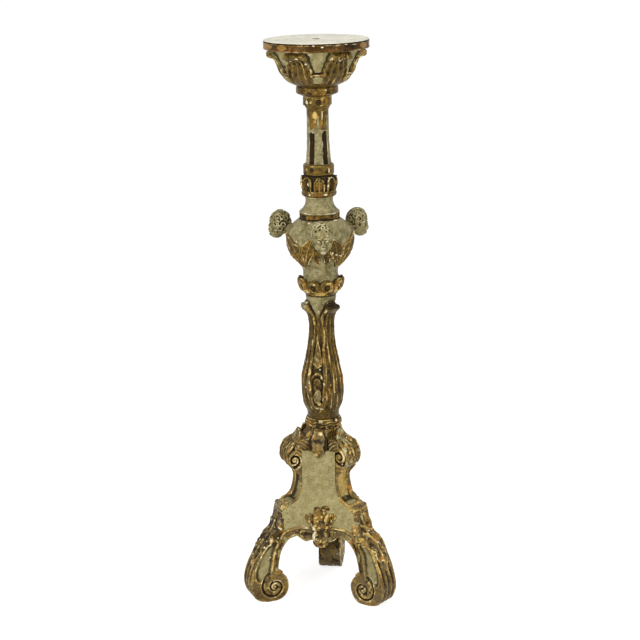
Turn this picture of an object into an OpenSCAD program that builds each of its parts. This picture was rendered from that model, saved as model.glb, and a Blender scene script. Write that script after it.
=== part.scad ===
// Torchere candle stand: a carved, painted and gilded wooden column on a three-legged scroll base.
// Z is up, the floor is z = 0 and the base stands round the Z axis. One panel of the base faces -Y.
// The turned and carved blocks are stacked on round spigots; the base is three brackets on a core.

/* [Top plate] */
// Diameter of the round top
plate_d = 238; // [200:2:260]
// Thickness of the round top
plate_t = 20; // [12:1:30]
// Bore for the candle spike
spike_d = 15; // [8:0.5:18]

/* [Cup] */
// Height of the carved cup under the top
cup_h = 107; // [90:1:130]
// Diameter of the cup at its rim
cup_d = 194; // [170:2:198]
// Diameter over the curled leaf tips
leaf_tip_d = 225; // [210:1:232]
// Number of leaves round the cup
cup_leaves = 6; // [4:1:8]

/* [Neck] */
// Height of the fluted neck
neck_h = 176; // [140:2:220]
// Diameter over the neck's foot moulding
neck_d = 70.6; // [64:0.2:76]
// Number of stopped flutes
flutes = 5; // [3:1:6]
// Width of a flute
flute_w = 11.5; // [8:0.5:13]
// Height of a flute above the foot moulding
flute_l = 81; // [50:1:100]

/* [Knop] */
// Height of the leaf knop
knop_h = 51; // [40:1:64]
// Diameter of the leaf knop
knop_d = 86.6; // [80:0.2:100]
// Number of leaves round the knop
knop_leaves = 8; // [6:1:10]

/* [Urn] */
// Height of the urn with its stem and its hollow neck
urn_h = 198; // [170:2:230]
// Greatest diameter of the urn
urn_d = 147.6; // [130:0.4:160]
// Turn of the urn against the base
urn_turn = 11; // [0:1:20]

/* [Cherubs] */
// Width of a cherub's head
head_w = 49; // [40:1:54]
// Height of a cherub's head
head_h = 69; // [54:1:74]
// Distance from the urn's side to the middle of a head
head_stand = 35; // [32:1:40]
// Thickness of the wings over the urn
wing_t = 6.5; // [4:0.5:8]

/* [Leaf collar] */
// Height of the scalloped collar up to the urn's seat
collar_h = 31; // [24:1:40]
// Diameter over the scallops
collar_d = 108; // [98:1:118]
// Number of scallops
scallops = 9; // [8:1:12]

/* [Baluster] */
// Height of the carved baluster
baluster_h = 297; // [260:2:340]
// Greatest diameter of the baluster
baluster_d = 100; // [90:1:110]
// Turn of the baluster's leaves against the base
baluster_turn = 20; // [0:1:60]

/* [Base] */
// Height of the base up to the ring under the baluster
base_h = 416; // [380:2:450]
// Reach of a leg from the middle of the base
leg_reach = 197; // [180:1:215]
// Width of a leg across its scroll
leg_w = 58; // [50:1:64]
// Height of the ring under the baluster
ring_h = 24; // [18:1:32]
// Diameter of the ring under the baluster
ring_d = 88; // [80:1:92]
// Thickness of a panel between two legs
panel_t = 14; // [9:1:18]
// Sideways step of the column on the base, as the old stand has it
column_shift = 6; // [0:1:8]

/* [Joints] */
// Diameter of the round spigots that join the blocks
spigot_d = 24; // [18:1:26]
// Depth of a spigot in the block below
spigot_l = 28; // [20:1:34]
// Diameter of the loose dowels
dowel_d = 10; // [6:1:12]
// Clearance round every spigot and dowel
fit = 0.15; // [0.1:0.05:0.3]
// Clearance between carved surfaces that lie on each other
seat = 0.3; // [0.3:0.05:0.5]

/* [Hidden] */

paint = [0.62, 0.62, 0.49];
gilt = [0.50, 0.39, 0.20];
bare = [0.66, 0.52, 0.36];
cream = [0.90, 0.87, 0.78];

// Levels of the joints, from the floor up
ring_z = base_h;
baluster_z = ring_z + ring_h;
collar_z = baluster_z + baluster_h;
urn_z = collar_z + collar_h;
knop_z = urn_z + urn_h;
neck_z = knop_z + knop_h;
cup_z = neck_z + neck_h;
plate_z = cup_z + cup_h;

// Directions of the three legs and of the three panels between them
leg_angles = [210, 330, 90];
panel_angles = [0, 120, 240];
big = 600;
spigot_slack = 1;
// Every spigot is rooted this deep in its own block
spigot_root = 2;

// ---- Curves ----

function held(p, i) = p[max(0, min(len(p) - 1, i))];

// Point at t on the smooth curve between control points i and i + 1
function between(p, i, t) =
    let (a = held(p, i - 1), b = p[i], c = p[i + 1], d = held(p, i + 2))
    0.5 * (2 * b + (c - a) * t + (2 * a - 5 * b + 4 * c - d) * t * t + (3 * b - a - 3 * c + d) * t * t * t);

// Smooth curve through the control points, with n steps in each span
function curve(p, n = 4) =
    concat([for (i = [0:len(p) - 2]) for (j = [0:n - 1]) between(p, i, j / n)], [p[len(p) - 1]]);

// The same curve moved outwards by d along its own normal, which lies left of its direction
function shifted(p, d) = [
    for (i = [0:len(p) - 1])
        let (t = held(p, i + 1) - held(p, i - 1), n = [-t[1], t[0]] / norm(t))
        p[i] + d * n
];

function backwards(p) = [for (i = [len(p) - 1:-1:0]) p[i]];

// A profile drawn at real sizes, stretched to the radius r and the height h that are set
function stretched(p, r, h) =
    let (r0 = max([for (q = p) q[0]]), h0 = max([for (q = p) q[1]]))
    [for (q = p) [q[0] * r / r0, q[1] * h / h0]];

// 0 below 0, 1 above 1 and smooth between
function ramp(x) = let (t = max(0, min(1, x))) t * t * (3 - 2 * t);

// Round hump of height 1 at x = 0 that ends at x = 1
function hump(x) = ramp(1 - abs(x));

// Angle from the nearest of the copies that lie step apart
function from_nearest(a, step) = let (m = a / step) (m - round(m)) * step;

// ---- Solids ----

// Closed skin over rows of points. Every row runs once round the piece and the ends are flat.
module skin(rows) {
    n = len(rows[0]);
    last = len(rows) - 1;
    points = [for (row = rows) each row];
    sides = [
        for (k = [0:last - 1])
            for (i = [0:n - 1])
                let (j = (i + 1) % n, a = k * n + i, b = k * n + j)
                each [[a, a + n, b + n], [a, b + n, b]]
    ];
    ends = [[for (i = [0:n - 1]) i], [for (i = [n - 1:-1:0]) last * n + i]];
    polyhedron(points = points, faces = concat(sides, ends), convexity = 6);
}

// Turned block with the outline p, from the axis out
module turned(p) {
    top = p[len(p) - 1];
    rotate_extrude($fn = 96) polygon(concat([[0, p[0][1]]], p, [[0, top[1]]]));
}

// Round peg from z = 0 down
module spigot(length) {
    translate([0, 0, -length]) cylinder(h = length + spigot_root, d = spigot_d, $fn = 48);
}

// Bore for a spigot that comes down from z = 0
module spigot_bore(depth) {
    translate([0, 0, -depth - spigot_slack])
        cylinder(h = depth + 2 * spigot_slack, d = spigot_d + 2 * fit, $fn = 48);
}

module at_column(z) {
    translate([column_shift, 0, z]) children();
}

// Outline in the radial plane, extruded to the width w across that plane
module radial_slab(outline, w, y = 0) {
    translate([0, y, 0]) rotate([90, 0, 0]) linear_extrude(w, center = true) polygon(outline);
}

// ---- Top plate ----

plate_edge = 1.2;
plate_dowel_r = 52;
plate_dowel_l = 12;

module top_plate() {
    color(cream) at_column(plate_z) difference() {
        turned([
            [plate_d / 2 - plate_edge, 0], [plate_d / 2, plate_edge],
            [plate_d / 2, plate_t - plate_edge], [plate_d / 2 - plate_edge, plate_t]
        ]);
        translate([0, 0, -1]) cylinder(h = plate_t + 2, d = spike_d, $fn = 48);
        plate_dowel_places(-1, plate_t * 0.6 + 1, dowel_d + 2 * fit);
    }
}

module plate_dowel_places(z, h, d) {
    for (a = panel_angles)
        rotate([0, 0, a]) translate([0, -plate_dowel_r, z]) cylinder(h = h, d = d, $fn = 32);
}

module plate_dowels() {
    color(bare) at_column(plate_z)
        plate_dowel_places(-plate_dowel_l, plate_dowel_l + plate_t * 0.6 - spigot_slack / 2, dowel_d);
}

// ---- Cup: a bell with leaves that curl out under the plate ----

cup_turn = 9.6;
spike_depth = 40;
// Each row: field radius, field height, leaf radius, leaf height, half the leaf's share of its place
cup_rows = [
    [33, 0, 33, 0, 1], [36.5, 3, 36.5, 3, 1], [46, 7, 46, 7, 1], [47.5, 9, 47.5, 9, 1],
    [47.5, 21, 47.5, 21, 1], [46, 24, 46, 24, 1], [50, 27, 52, 26.5, 0.93], [60, 33.5, 63, 33, 0.93],
    [68, 41, 72, 40.5, 0.93], [74, 49, 78, 48.5, 0.93], [78, 57, 83, 56, 0.9],
    [81.5, 66, 86, 64.5, 0.8], [85, 76, 89.5, 73.5, 0.68], [88, 85, 92.5, 82, 0.6],
    [90.5, 92, 99, 87.5, 0.54], [92.5, 96.5, 108, 90.5, 0.46], [94, 100, 112.5, 96, 0.42],
    [95, 103, 109, 101.5, 0.42], [96, 105, 102, 104.5, 0.46], [97, 107, 97, 107, 1]
];
cup_drawn_r = cup_rows[len(cup_rows) - 1][0];
cup_drawn_h = max([for (row = cup_rows) row[1]]);
cup_drawn_tip = max([for (row = cup_rows) row[2]]);
cup_steps = 72;

// Radius in the cup, stretched by the rim below it and by the leaf tips beyond it
function cup_r(r) = r <= cup_drawn_r
    ? r * cup_d / 2 / cup_drawn_r
    : cup_d / 2 + (r - cup_drawn_r) * (leaf_tip_d - cup_d) / 2 / (cup_drawn_tip - cup_drawn_r);

function cup_point(row, a) =
    let (
        share = abs(from_nearest(a - cup_turn, 360 / cup_leaves)) / (180 / cup_leaves),
        leaf = ramp((row[4] - share) / 0.14 + 0.5),
        rib = 1.6 * hump(share / 0.2) * ramp(row[2] - 50) * ramp((row[4] - 0.4) * 6),
        r = cup_r(row[0] + (row[2] - row[0]) * leaf) + rib,
        z = (row[1] + (row[3] - row[1]) * leaf) * cup_h / cup_drawn_h
    )
    [r * cos(a), r * sin(a), z];

module cup() {
    color(gilt) at_column(cup_z) {
        difference() {
            skin([for (row = cup_rows) [for (i = [0:cup_steps - 1]) cup_point(row, i * 360 / cup_steps)]]);
            translate([0, 0, cup_h - spike_depth]) cylinder(h = spike_depth + 1, d = spike_d, $fn = 48);
            translate([0, 0, cup_h]) plate_dowel_places(-plate_dowel_l - spigot_slack / 2, plate_dowel_l + 2,
                dowel_d + 2 * fit);
            spigot_bore_up();
        }
    }
}

// Bore in a block for a spigot that rises from the block below
module spigot_bore_up() {
    translate([0, 0, -1])
        cylinder(h = spigot_l + 1 + spigot_slack, d = spigot_d + 2 * fit, $fn = 48);
}

// ---- Neck: a shaft with stopped flutes between two mouldings ----

neck_points = [
    [34.4, 0], [35.3, 1.5], [35.3, 20], [34, 22], [30, 23.5], [28.7, 29], [27.4, 40], [26.8, 52],
    [25.8, 66], [25.2, 85], [24.9, 105], [24.8, 144], [25.6, 149], [28.4, 152.5], [28.8, 155],
    [32.2, 156], [32.8, 158], [32.8, 173], [32, 176]
];
neck_turn = 243.6;
neck_collar_h = 23;
neck_cut = 4;

module neck() {
    p = stretched(neck_points, neck_d / 2, neck_h);
    shaft = lookup(neck_h * 0.5, [for (q = p) [q[1], q[0]]]);
    foot = neck_collar_h * neck_h / 176;
    color(paint) at_column(neck_z) {
        difference() {
            union() {
                turned(p);
                spigot(spigot_l);
                translate([0, 0, neck_h]) mirror([0, 0, 1]) spigot(spigot_l);
            }
            for (i = [0:flutes - 1])
                rotate([0, 0, neck_turn + i * 360 / flutes])
                    translate([shaft - neck_cut + flute_w / 2, 0, foot]) {
                        cylinder(h = flute_l - flute_w / 2, d = flute_w, $fn = 32);
                        translate([0, 0, flute_l - flute_w / 2]) sphere(d = flute_w, $fn = 32);
                    }
        }
    }
}

// ---- Knop: a ring of upright leaves ----

// Each row: groove radius, leaf radius, height, half the leaf's share of its place
knop_rows = [
    [34, 34, 0, 1], [36, 37.5, 3, 1], [37, 39, 8, 1], [36.5, 38.4, 13, 1], [37, 40, 18, 0.88],
    [38, 42.6, 26, 0.86], [38.6, 43.3, 33, 0.84], [38, 42, 40, 0.76], [36.5, 39.6, 46, 0.6], [35.5, 36, 51, 0.5]
];
knop_drawn_r = max([for (row = knop_rows) row[1]]);
knop_drawn_h = max([for (row = knop_rows) row[2]]);
knop_turn = 279;
knop_steps = 64;

function knop_point(row, a) =
    let (
        share = abs(from_nearest(a - knop_turn, 360 / knop_leaves)) / (180 / knop_leaves),
        leaf = ramp((row[3] - share) / 0.3 + 0.5),
        r = (row[0] + (row[1] - row[0]) * leaf) * knop_d / 2 / knop_drawn_r
    )
    [r * cos(a), r * sin(a), row[2] * knop_h / knop_drawn_h];

module knop() {
    color(gilt) at_column(knop_z) difference() {
        skin([for (row = knop_rows) [for (i = [0:knop_steps - 1]) knop_point(row, i * 360 / knop_steps)]]);
        translate([0, 0, -1]) cylinder(h = knop_h + 2, d = spigot_d + 2 * fit, $fn = 48);
    }
}

// ---- Urn ----

urn_low = [
    [40.5, 0], [40.6, 14], [40.8, 26], [44.5, 34], [50, 41], [55.7, 48], [62.5, 61], [69.5, 78],
    [73.2, 94], [73.8, 106], [72.5, 116], [67, 128], [58, 138.5], [47, 147]
];
urn_high = [
    [46, 149], [46.8, 151], [46.8, 160], [46, 162], [40.5, 168.5], [35.5, 175], [32.6, 182], [31.6, 189], [32.6, 195],
    [33.6, 198]
];
urn_points = stretched(concat(curve(urn_low, 3), urn_high), urn_d / 2, urn_h);
urn_sides = [for (q = urn_points) [q[1], q[0]]];
urn_stem_r = urn_points[0][0];
// The urn's upper spigot runs up through the whole knop and meets the neck's spigot half-way
urn_peg = knop_h - spigot_l - spigot_slack;

function urn_r(z) = lookup(z, urn_sides);

head_z = urn_h * 0.621;
head_reach = urn_r(head_z) + head_stand;
head_angles = [270 + urn_turn, 30 + urn_turn, 150 + urn_turn];
head_dowel_in = 22;

module urn() {
    color(paint) at_column(urn_z) difference() {
        union() {
            turned(urn_points);
            spigot(collar_h + spigot_l);
            translate([0, 0, urn_h]) mirror([0, 0, 1]) spigot(urn_peg);
        }
        for (a = head_angles) rotate([0, 0, a]) head_dowel(head_dowel_in + spigot_slack, 6, dowel_d + 2 * fit);
    }
}

// Round dowel from the urn's side inwards by deep and outwards by out
module head_dowel(deep, out, d) {
    r = urn_r(head_z);
    translate([r - deep, 0, head_z]) rotate([0, 90, 0]) cylinder(h = deep + out, d = d, $fn = 32);
}

module head_dowels() {
    color(bare) at_column(urn_z)
        for (a = head_angles) rotate([0, 0, a]) head_dowel(head_dowel_in, head_stand - 6, dowel_d);
}

// ---- Cherub heads: a calm child's head on even proportions, its face turned outwards ----

head_rings = 14;
head_steps = 22;
// The neck of a head joins it a little below its middle
head_drop = 4;

// Swelling of the head, as a share of its half width, at the angle a from the face and the height h
function face(a, h) =
    0.20 * hump(a / 14) * hump((h + 0.10) / 0.22)
    + 0.07 * hump((abs(a) - 42) / 34) * hump((h + 0.26) / 0.40)
    + 0.10 * hump(a / 26) * hump((h + 0.80) / 0.24)
    + 0.05 * hump(a / 16) * hump((h + 0.48) / 0.14)
    - 0.08 * hump((abs(a) - 26) / 18) * hump((h - 0.10) / 0.20)
    + 0.05 * hump(a / 60) * hump((h - 0.34) / 0.26);

// Swelling of the curly hair over the crown and the back
function hair(a, h) =
    0.09 * ramp((abs(a) - 58) / 22 + 2 * max(0, h - 0.42)) * (1 + 0.5 * sin(a * 7) * sin(h * 540));

function head_point(k, a) =
    let (
        lat = -88 + 176 * k / (head_rings - 1),
        h = sin(lat),
        girth = pow(cos(lat), 0.86) * (1 - 0.13 * ramp(-h)),
        swell = k == 0 || k == head_rings - 1 ? 0 : face(a, h) + hair(a, h),
        r = head_w / 2 * girth * (0.94 + swell)
    )
    [r * cos(a) * 1.08, r * sin(a), h * head_h / 2];

module cherub_head(n) {
    neck_start = urn_r(head_z) + 2 * seat + 0.4 + wing_t;
    color(paint) at_column(urn_z) rotate([0, 0, head_angles[n]]) difference() {
        union() {
            translate([head_reach, 0, head_z])
                skin([for (k = [0:head_rings - 1])
                    [for (i = [0:head_steps - 1]) head_point(k, from_nearest(i * 360 / head_steps, 360))]]);
            translate([neck_start, 0, head_z - head_drop])
                rotate([0, 90, 0]) cylinder(h = head_reach - neck_start, d = head_w * 0.6, $fn = 48);
        }
        head_dowel(0, head_stand - 5, dowel_d + 2 * fit);
    }
}

// ---- Wings: one carved strip for each head, laid on the urn, with two breast feathers below ----

// Degrees that the two wings of each head reach to either side of it; the front pair is the narrow one
wing_spans = [[45, 45], [75, 60], [60, 75]];
wing_side_steps = 11;
// Along one wing from the head to the tip: share of the span, lower edge, upper edge, as drawn on the urn
wing_stations = [
    [0, 57, 106], [0.15, 52, 108], [0.31, 43, 112], [0.40, 52, 114], [0.46, 64, 114], [0.55, 66, 111],
    [0.66, 58, 106], [0.78, 50, 101], [0.88, 43, 95], [0.96, 38.5, 90.5], [1, 39, 91]
];
wing_drawn_h = max([for (q = urn_high) q[1]]);
wing_loop = 5;

function wing_loop_points(a, low, high) =
    let (
        k = urn_h / wing_drawn_h,
        outer = [for (j = [0:wing_loop - 1])
            let (u = j / (wing_loop - 1), z = (low + (high - low) * u) * k, t = wing_t * (0.45 + 0.55 * hump(u * 1.7 - 1)))
            [urn_r(z) + seat + 0.4 + t, z]],
        inner = [for (j = [wing_loop - 1:-1:0])
            let (u = j / (wing_loop - 1), z = (low + (high - low) * u) * k)
            [urn_r(z) + seat + 0.4, z]]
    )
    [for (q = concat(outer, inner)) [q[0] * cos(a), q[0] * sin(a), q[1]]];

module wings(n) {
    spans = wing_spans[n];
    last = len(wing_stations) - 1;
    one = [for (i = [last:-1:1]) [-(wing_stations[i][0] * spans[0] - edge_gap(wing_stations[i][0])), wing_stations[i]]];
    two = [for (i = [0:last]) [wing_stations[i][0] * spans[1] - edge_gap(wing_stations[i][0]), wing_stations[i]]];
    color(gilt) at_column(urn_z) rotate([0, 0, head_angles[n]]) difference() {
        skin([for (s = concat(one, two)) wing_loop_points(s[0], s[1][1], s[1][2])]);
        head_dowel(0, head_stand, dowel_d + 2 * fit);
    }
}

// Half the gap between two wings, in degrees, at their tips only
function edge_gap(share) = share == 1 ? 0.5 : 0;

// ---- Leaf collar: scallops that turn up round the urn's stem ----

// Each row: valley radius, valley height, scallop radius, scallop height
collar_rows = [
    [33.5, 0, 33.5, 0], [38, 7, 38.4, 8], [44.5, 12.5, 47.5, 14.5], [48.5, 19, 53, 21], [49.6, 25, 54, 29],
    [48, 30, 51.5, 38.5], [45, 31.5, 46.5, 38], [43.4, 31, 43.4, 33]
];
collar_drawn_r = max([for (row = collar_rows) row[2]]);
// The valleys of the last two rows lie where the urn is seated
collar_drawn_h = collar_rows[len(collar_rows) - 1][1];
collar_turn = 256;
collar_steps = 60;

function collar_point(row, a) =
    let (
        share = abs(from_nearest(a - collar_turn, 360 / scallops)) / (180 / scallops),
        leaf = pow(cos(90 * share), 0.7),
        r = (row[0] + (row[2] - row[0]) * leaf) * collar_d / 2 / collar_drawn_r,
        z = (row[1] + (row[3] - row[1]) * leaf) * collar_h / collar_drawn_h
    )
    [r * cos(a), r * sin(a), z];

module leaf_collar() {
    seat_row = [for (i = [0:collar_steps - 1])
        let (a = i * 360 / collar_steps, r = urn_stem_r + 0.8) [r * cos(a), r * sin(a), collar_h]];
    rows = [for (row = collar_rows) [for (i = [0:collar_steps - 1]) collar_point(row, i * 360 / collar_steps)]];
    color(gilt) at_column(collar_z) difference() {
        skin(concat(rows, [seat_row]));
        translate([0, 0, -1]) cylinder(h = collar_h + 2, d = spigot_d + 2 * fit, $fn = 48);
    }
}

// ---- Baluster: three long leaves and, between them, three hollow panels with a drop and a boss ----

// Each row: height, panel radius, leaf radius, half the leaf's share of its place
baluster_rows = [
    [0, 35, 35, 1], [5, 36.5, 37, 1], [14, 37, 38, 0.94], [24, 39, 41.5, 0.86], [34, 41.5, 45, 0.8],
    [46, 42.5, 47.5, 0.76], [58, 43, 49, 0.72], [70, 43, 50, 0.7], [82, 42.5, 50, 0.68], [94, 41, 49.5, 0.66],
    [106, 39, 48, 0.64], [118, 37, 45, 0.64], [130, 35, 41.8, 0.64], [144, 32, 38.8, 0.64],
    [158, 30, 36, 0.66], [174, 28.5, 33, 0.7], [190, 27.3, 30.8, 0.76], [206, 26, 29.4, 0.84],
    [220, 25.4, 28.8, 0.84], [234, 25.4, 29.6, 0.8], [246, 26.4, 32, 0.72], [255, 27.6, 35.5, 0.62],
    [262, 29, 41.5, 0.52], [269, 30.6, 46, 0.42], [275, 32, 42, 0.34], [281, 33.6, 36, 0.3],
    [288, 34.6, 35.2, 1], [297, 34, 34, 1]
];
baluster_drawn_r = max([for (row = baluster_rows) row[2]]);
baluster_drawn_h = max([for (row = baluster_rows) row[0]]);
baluster_steps = 60;

// Raised drop and round boss in the middle of a panel, at the angle a from it and the height z
function panel_relief(a, z) =
    3.2 * hump(a / (6 + 18 * ramp((190 - z) / 70))) * ramp((190 - z) / 30) * ramp((z - 118) / 12)
    + 4 * hump(a / 20) * hump((z - 60) / 24);

function baluster_point(row, a) =
    let (
        off = from_nearest(a - baluster_turn - 60, 120),
        share = abs(off) / 60,
        leaf = ramp((row[3] - share) / 0.2 + 0.5),
        rib = 1.5 * hump(share / 0.16) * ramp((250 - row[0]) / 30) * ramp((row[0] - 20) / 20),
        from_panel = from_nearest(a - baluster_turn, 120),
        r = row[1] + (row[2] - row[1]) * leaf + rib * leaf + panel_relief(from_panel, row[0]) * (1 - leaf),
        k = baluster_d / 2 / baluster_drawn_r
    )
    [k * min(r, baluster_drawn_r) * cos(a), k * min(r, baluster_drawn_r) * sin(a), row[0] * baluster_h / baluster_drawn_h];

module baluster() {
    color(gilt) at_column(baluster_z) {
        difference() {
            union() {
                skin([for (row = baluster_rows)
                    [for (i = [0:baluster_steps - 1]) baluster_point(row, i * 360 / baluster_steps)]]);
                spigot(ring_h + spigot_l);
            }
            translate([0, 0, baluster_h]) spigot_bore(spigot_l);
        }
    }
}

// ---- Ring under the baluster ----

ring_points = [[41, 0], [43.2, 1.6], [44, 5], [44, 17], [42.8, 20.5], [39.5, 22.4], [38.5, 24]];

module base_ring() {
    color(gilt) at_column(ring_z) difference() {
        turned(stretched(ring_points, ring_d / 2, ring_h));
        translate([0, 0, -1]) cylinder(h = ring_h + 2, d = spigot_d + 2 * fit, $fn = 48);
    }
}

// ---- Base: outline of a leg, drawn in its own radial plane ----

// Reach and height of the base as its points are drawn
base_drawing = [197, 416];

// A point of the base as drawn, stretched to the reach and the height that are set
function up(z) = z * base_h / base_drawing[1];
function drawn(q) = [q[0] * leg_reach / base_drawing[0], up(q[1])];

// Distance of the core's flat faces from the axis: the three legs close round them
core_in = leg_w / 2 / tan(60);
drum_in = 41;
drum_r = 46;
drum_z = up(366);
core_z = up(178);

// Back of a leg from the shoulder scroll down over the knee to the sole
spine_points = [for (q = [
    [56, 395], [70, 389], [83, 380], [91, 367], [94, 353], [91, 339], [83, 328], [71, 317], [62.5, 303],
    [62, 286], [66, 266], [76, 247], [95, 237], [110, 229], [115, 213], [120, 195], [131, 172],
    [150, 149], [171, 119], [187, 90], [196, 62], [196, 38], [187, 15], [169, 2.5], [150, 0]
]) drawn(q)];
// Inner side of a leg from the scroll of the foot up to the core
inner_points = [for (q = [
    [131, 0], [117, 5], [106, 17], [101, 36], [106, 56], [119, 70], [130, 80], [133, 104], [127, 126], [113, 146],
    [93, 161], [62, 173], [30, 178]
]) drawn(q)];
spine = curve(spine_points, 3);
inner = curve(inner_points, 3);
foot_eye = drawn([137, 36]);
shoulder_eye = drawn([78, 352]);

leg_outline = concat(
    [[core_in, core_z], [core_in, drum_z], [drum_in, drum_z], [drum_in, up(397)]],
    spine, inner
);

// Spiral groove round the point c: it starts at the angle a0 and radius r0 and turns clockwise inwards
module spiral_groove(c, a0, r0, r1, turns, width, deep) {
    steps = 40;
    path = [for (i = [0:steps]) let (t = i / steps, a = a0 - turns * 360 * t, r = r0 + (r1 - r0) * t)
        c + r * [cos(a), sin(a)]];
    band = concat(shifted(path, width / 2), backwards(shifted(path, -width / 2)));
    for (side = [-1, 1]) radial_slab(band, 2 * deep, side * leg_w / 2);
}

// Long hollow down the back of a leg, between two points of its spine
module spine_flute(first, last, y, w, deep) {
    part = [for (i = [first:last]) spine[i]];
    radial_slab(concat(shifted(part, 2), backwards(shifted(part, -deep))), w, y);
}

side_field = [for (q = [
    [146, 77], [158, 58], [170, 52], [180, 62], [181, 82], [172, 104], [157, 126], [141, 143], [134, 139],
    [139, 122], [143, 100]
]) drawn(q)];
recess = 3;

module leg(n) {
    rib = leg_w / 5;
    color(gilt) rotate([0, 0, leg_angles[n]]) difference() {
        radial_slab(leg_outline, leg_w);
        for (y = [-1, 0, 1]) spine_flute(49, 66, y * rib * 1.45, rib * 0.8, 3.5);
        spine_flute(25, 36, 0, leg_w - 14, 3);
        for (side = [-1, 1]) radial_slab(curve(side_field, 2), 2 * recess, side * leg_w / 2);
        spiral_groove(foot_eye, 40, up(29), up(8), 1.35, 4.5, 3.5);
        spiral_groove(shoulder_eye, 110, up(13.5), up(4.5), 1.2, 3, 3);
        for (z = dowel_levels) leg_dowel(z, dowel_d + 2 * fit, spigot_slack);
    }
}

dowel_levels = [up(225), up(325)];
leg_dowel_in = 10;
leg_dowel_out = 24;

module leg_dowel(z, d, extra) {
    translate([core_in - leg_dowel_in - extra, 0, z])
        rotate([0, 90, 0]) cylinder(h = leg_dowel_in + leg_dowel_out + 2 * extra, d = d, $fn = 32);
}

module leg_dowels() {
    color(bare) for (a = leg_angles) for (z = dowel_levels) rotate([0, 0, a]) leg_dowel(z, dowel_d, 0);
}

module base_core() {
    color(gilt) difference() {
        union() {
            translate([0, 0, core_z]) rotate([0, 0, 30]) cylinder(h = ring_z - 1 - core_z, r = 2 * core_in, $fn = 3);
            translate([0, 0, drum_z]) intersection() {
                cylinder(h = ring_z - drum_z, r = drum_r, $fn = 96);
                rotate([0, 0, 30]) cylinder(h = ring_z - drum_z, r = 2 * drum_in, $fn = 3);
            }
        }
        at_column(ring_z) spigot_bore(spigot_l);
        for (a = leg_angles) for (z = dowel_levels) rotate([0, 0, a]) leg_dowel(z, dowel_d + 2 * fit, spigot_slack);
    }
}

// ---- Leaves on the legs: long strips whose back lies on the spine ----

// One cross-section of a leaf at the point q with the normal n: crowned, with a middle rib
function leaf_loop(q, n, w, t, lift) =
    let (
        top = [for (j = [0:6]) let (u = -1 + j / 3)
            [u * w / 2, lift + t * (0.35 + 0.65 * (1 - u * u)) + 0.22 * t * cos(u * 540)]],
        bottom = [[w / 2, lift], [-w / 2, lift]]
    )
    [for (e = concat(top, bottom)) [q[0] + n[0] * e[1], e[0], q[1] + n[1] * e[1]]];

// Leaf along the spine from its point first to its point last; ws and ts give its width and thickness
module spine_leaf(first, last, ws, ts) {
    path = [for (i = [first:last]) spine[i]];
    out = shifted(path, 1);
    skin([for (i = [0:len(path) - 1])
        let (s = i / (len(path) - 1))
        backwards(leaf_loop(path[i], out[i] - path[i], leg_w * lookup(s, ws), lookup(s, ts), seat))]);
}

module leg_leaf(n) {
    color(gilt) rotate([0, 0, leg_angles[n]])
        spine_leaf(39, 58, [[0, 0.5], [0.15, 0.9], [0.5, 1.06], [0.8, 0.8], [1, 0.08]],
            [[0, 1.5], [0.2, 4], [0.6, 6], [0.9, 4.5], [1, 1.5]]);
}

// The shoulder leaf follows the scroll and then rises free to its point
shoulder_points = [for (q = [[92.6, 344], [94.4, 353], [91.4, 367], [83.4, 380.4], [72, 389], [63, 397], [58.5, 407],
    [59, 418]]) drawn(q)];

module shoulder_leaf(n) {
    path = curve(shoulder_points, 2);
    out = shifted(path, -1);
    ws = [[0, 0.5], [0.2, 0.95], [0.5, 1], [0.75, 0.72], [0.9, 0.4], [1, 0.06]];
    ts = [[0, 1.5], [0.2, 5], [0.6, 6.5], [0.85, 6], [1, 2]];
    color(gilt) rotate([0, 0, leg_angles[n]])
        skin([for (i = [0:len(path) - 1])
            let (s = i / (len(path) - 1))
            leaf_loop(path[i], out[i] - path[i], leg_w * lookup(s, ws), lookup(s, ts), seat)]);
}

// ---- Panels: boards between two legs that follow the line of the legs' corners ----

// Distance from the axis to the corner of a leg whose spine is r out, seen square to the panel
function corner(r) = r / 2 + leg_w / 2 * cos(30);

panel_top = up(368);
field_top = up(366);
// The face of a panel as [distance from the axis, height], from the top down
face_points = concat(
    [[corner(drawn([62, 0])[0]), panel_top], [corner(drawn([62, 0])[0]), up(303)]],
    [for (i = [9:14]) [corner(spine_points[i][0]), spine_points[i][1]]],
    [[corner(drawn([118, 0])[0]), up(194)], [corner(drawn([124, 0])[0]), up(160)], [corner(drawn([127, 0])[0]), up(120)],
        [corner(drawn([128, 0])[0]), up(70)]]
);
face = concat([face_points[0]], curve([for (i = [1:len(face_points) - 1]) face_points[i]], 3));
face_table = [for (i = [len(face) - 1:-1:0]) [face[i][1], face[i][0]]];

function face_y(z) = lookup(z, face_table);

// Layer between two legs, from back to front millimetres before the face of the panel
module layer(back, front) {
    wall = concat([for (q = face) [-q[0] - front, q[1]]], [for (q = backwards(face)) [-q[0] - back, q[1]]]);
    apex = -leg_w / 2 / cos(30);
    reach = leg_reach;
    intersection() {
        rotate([90, 0, 90]) linear_extrude(2 * reach * 2, center = true) polygon(wall);
        linear_extrude(base_h) polygon([[0, apex], [reach * tan(60), apex - reach], [-reach * tan(60), apex - reach]]);
    }
}

// Outline seen from the front, pushed through the whole base
module seen_from_front(outline) {
    rotate([90, 0, 0]) linear_extrude(big) polygon(outline);
}

function mirrored(p) = [for (q = backwards(p)) [-q[0], q[1]]];

arch_low = [for (q = [[0, 166], [30, 167], [54, 162], [75, 150], [88, 126], [94, 100], [96.5, 80]]) drawn(q)];
arch_high = [for (q = [[0, 188], [34, 191], [52, 189], [73, 182], [86, 170], [94, 146], [101, 112], [104, 80]]) drawn(q)];

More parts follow.
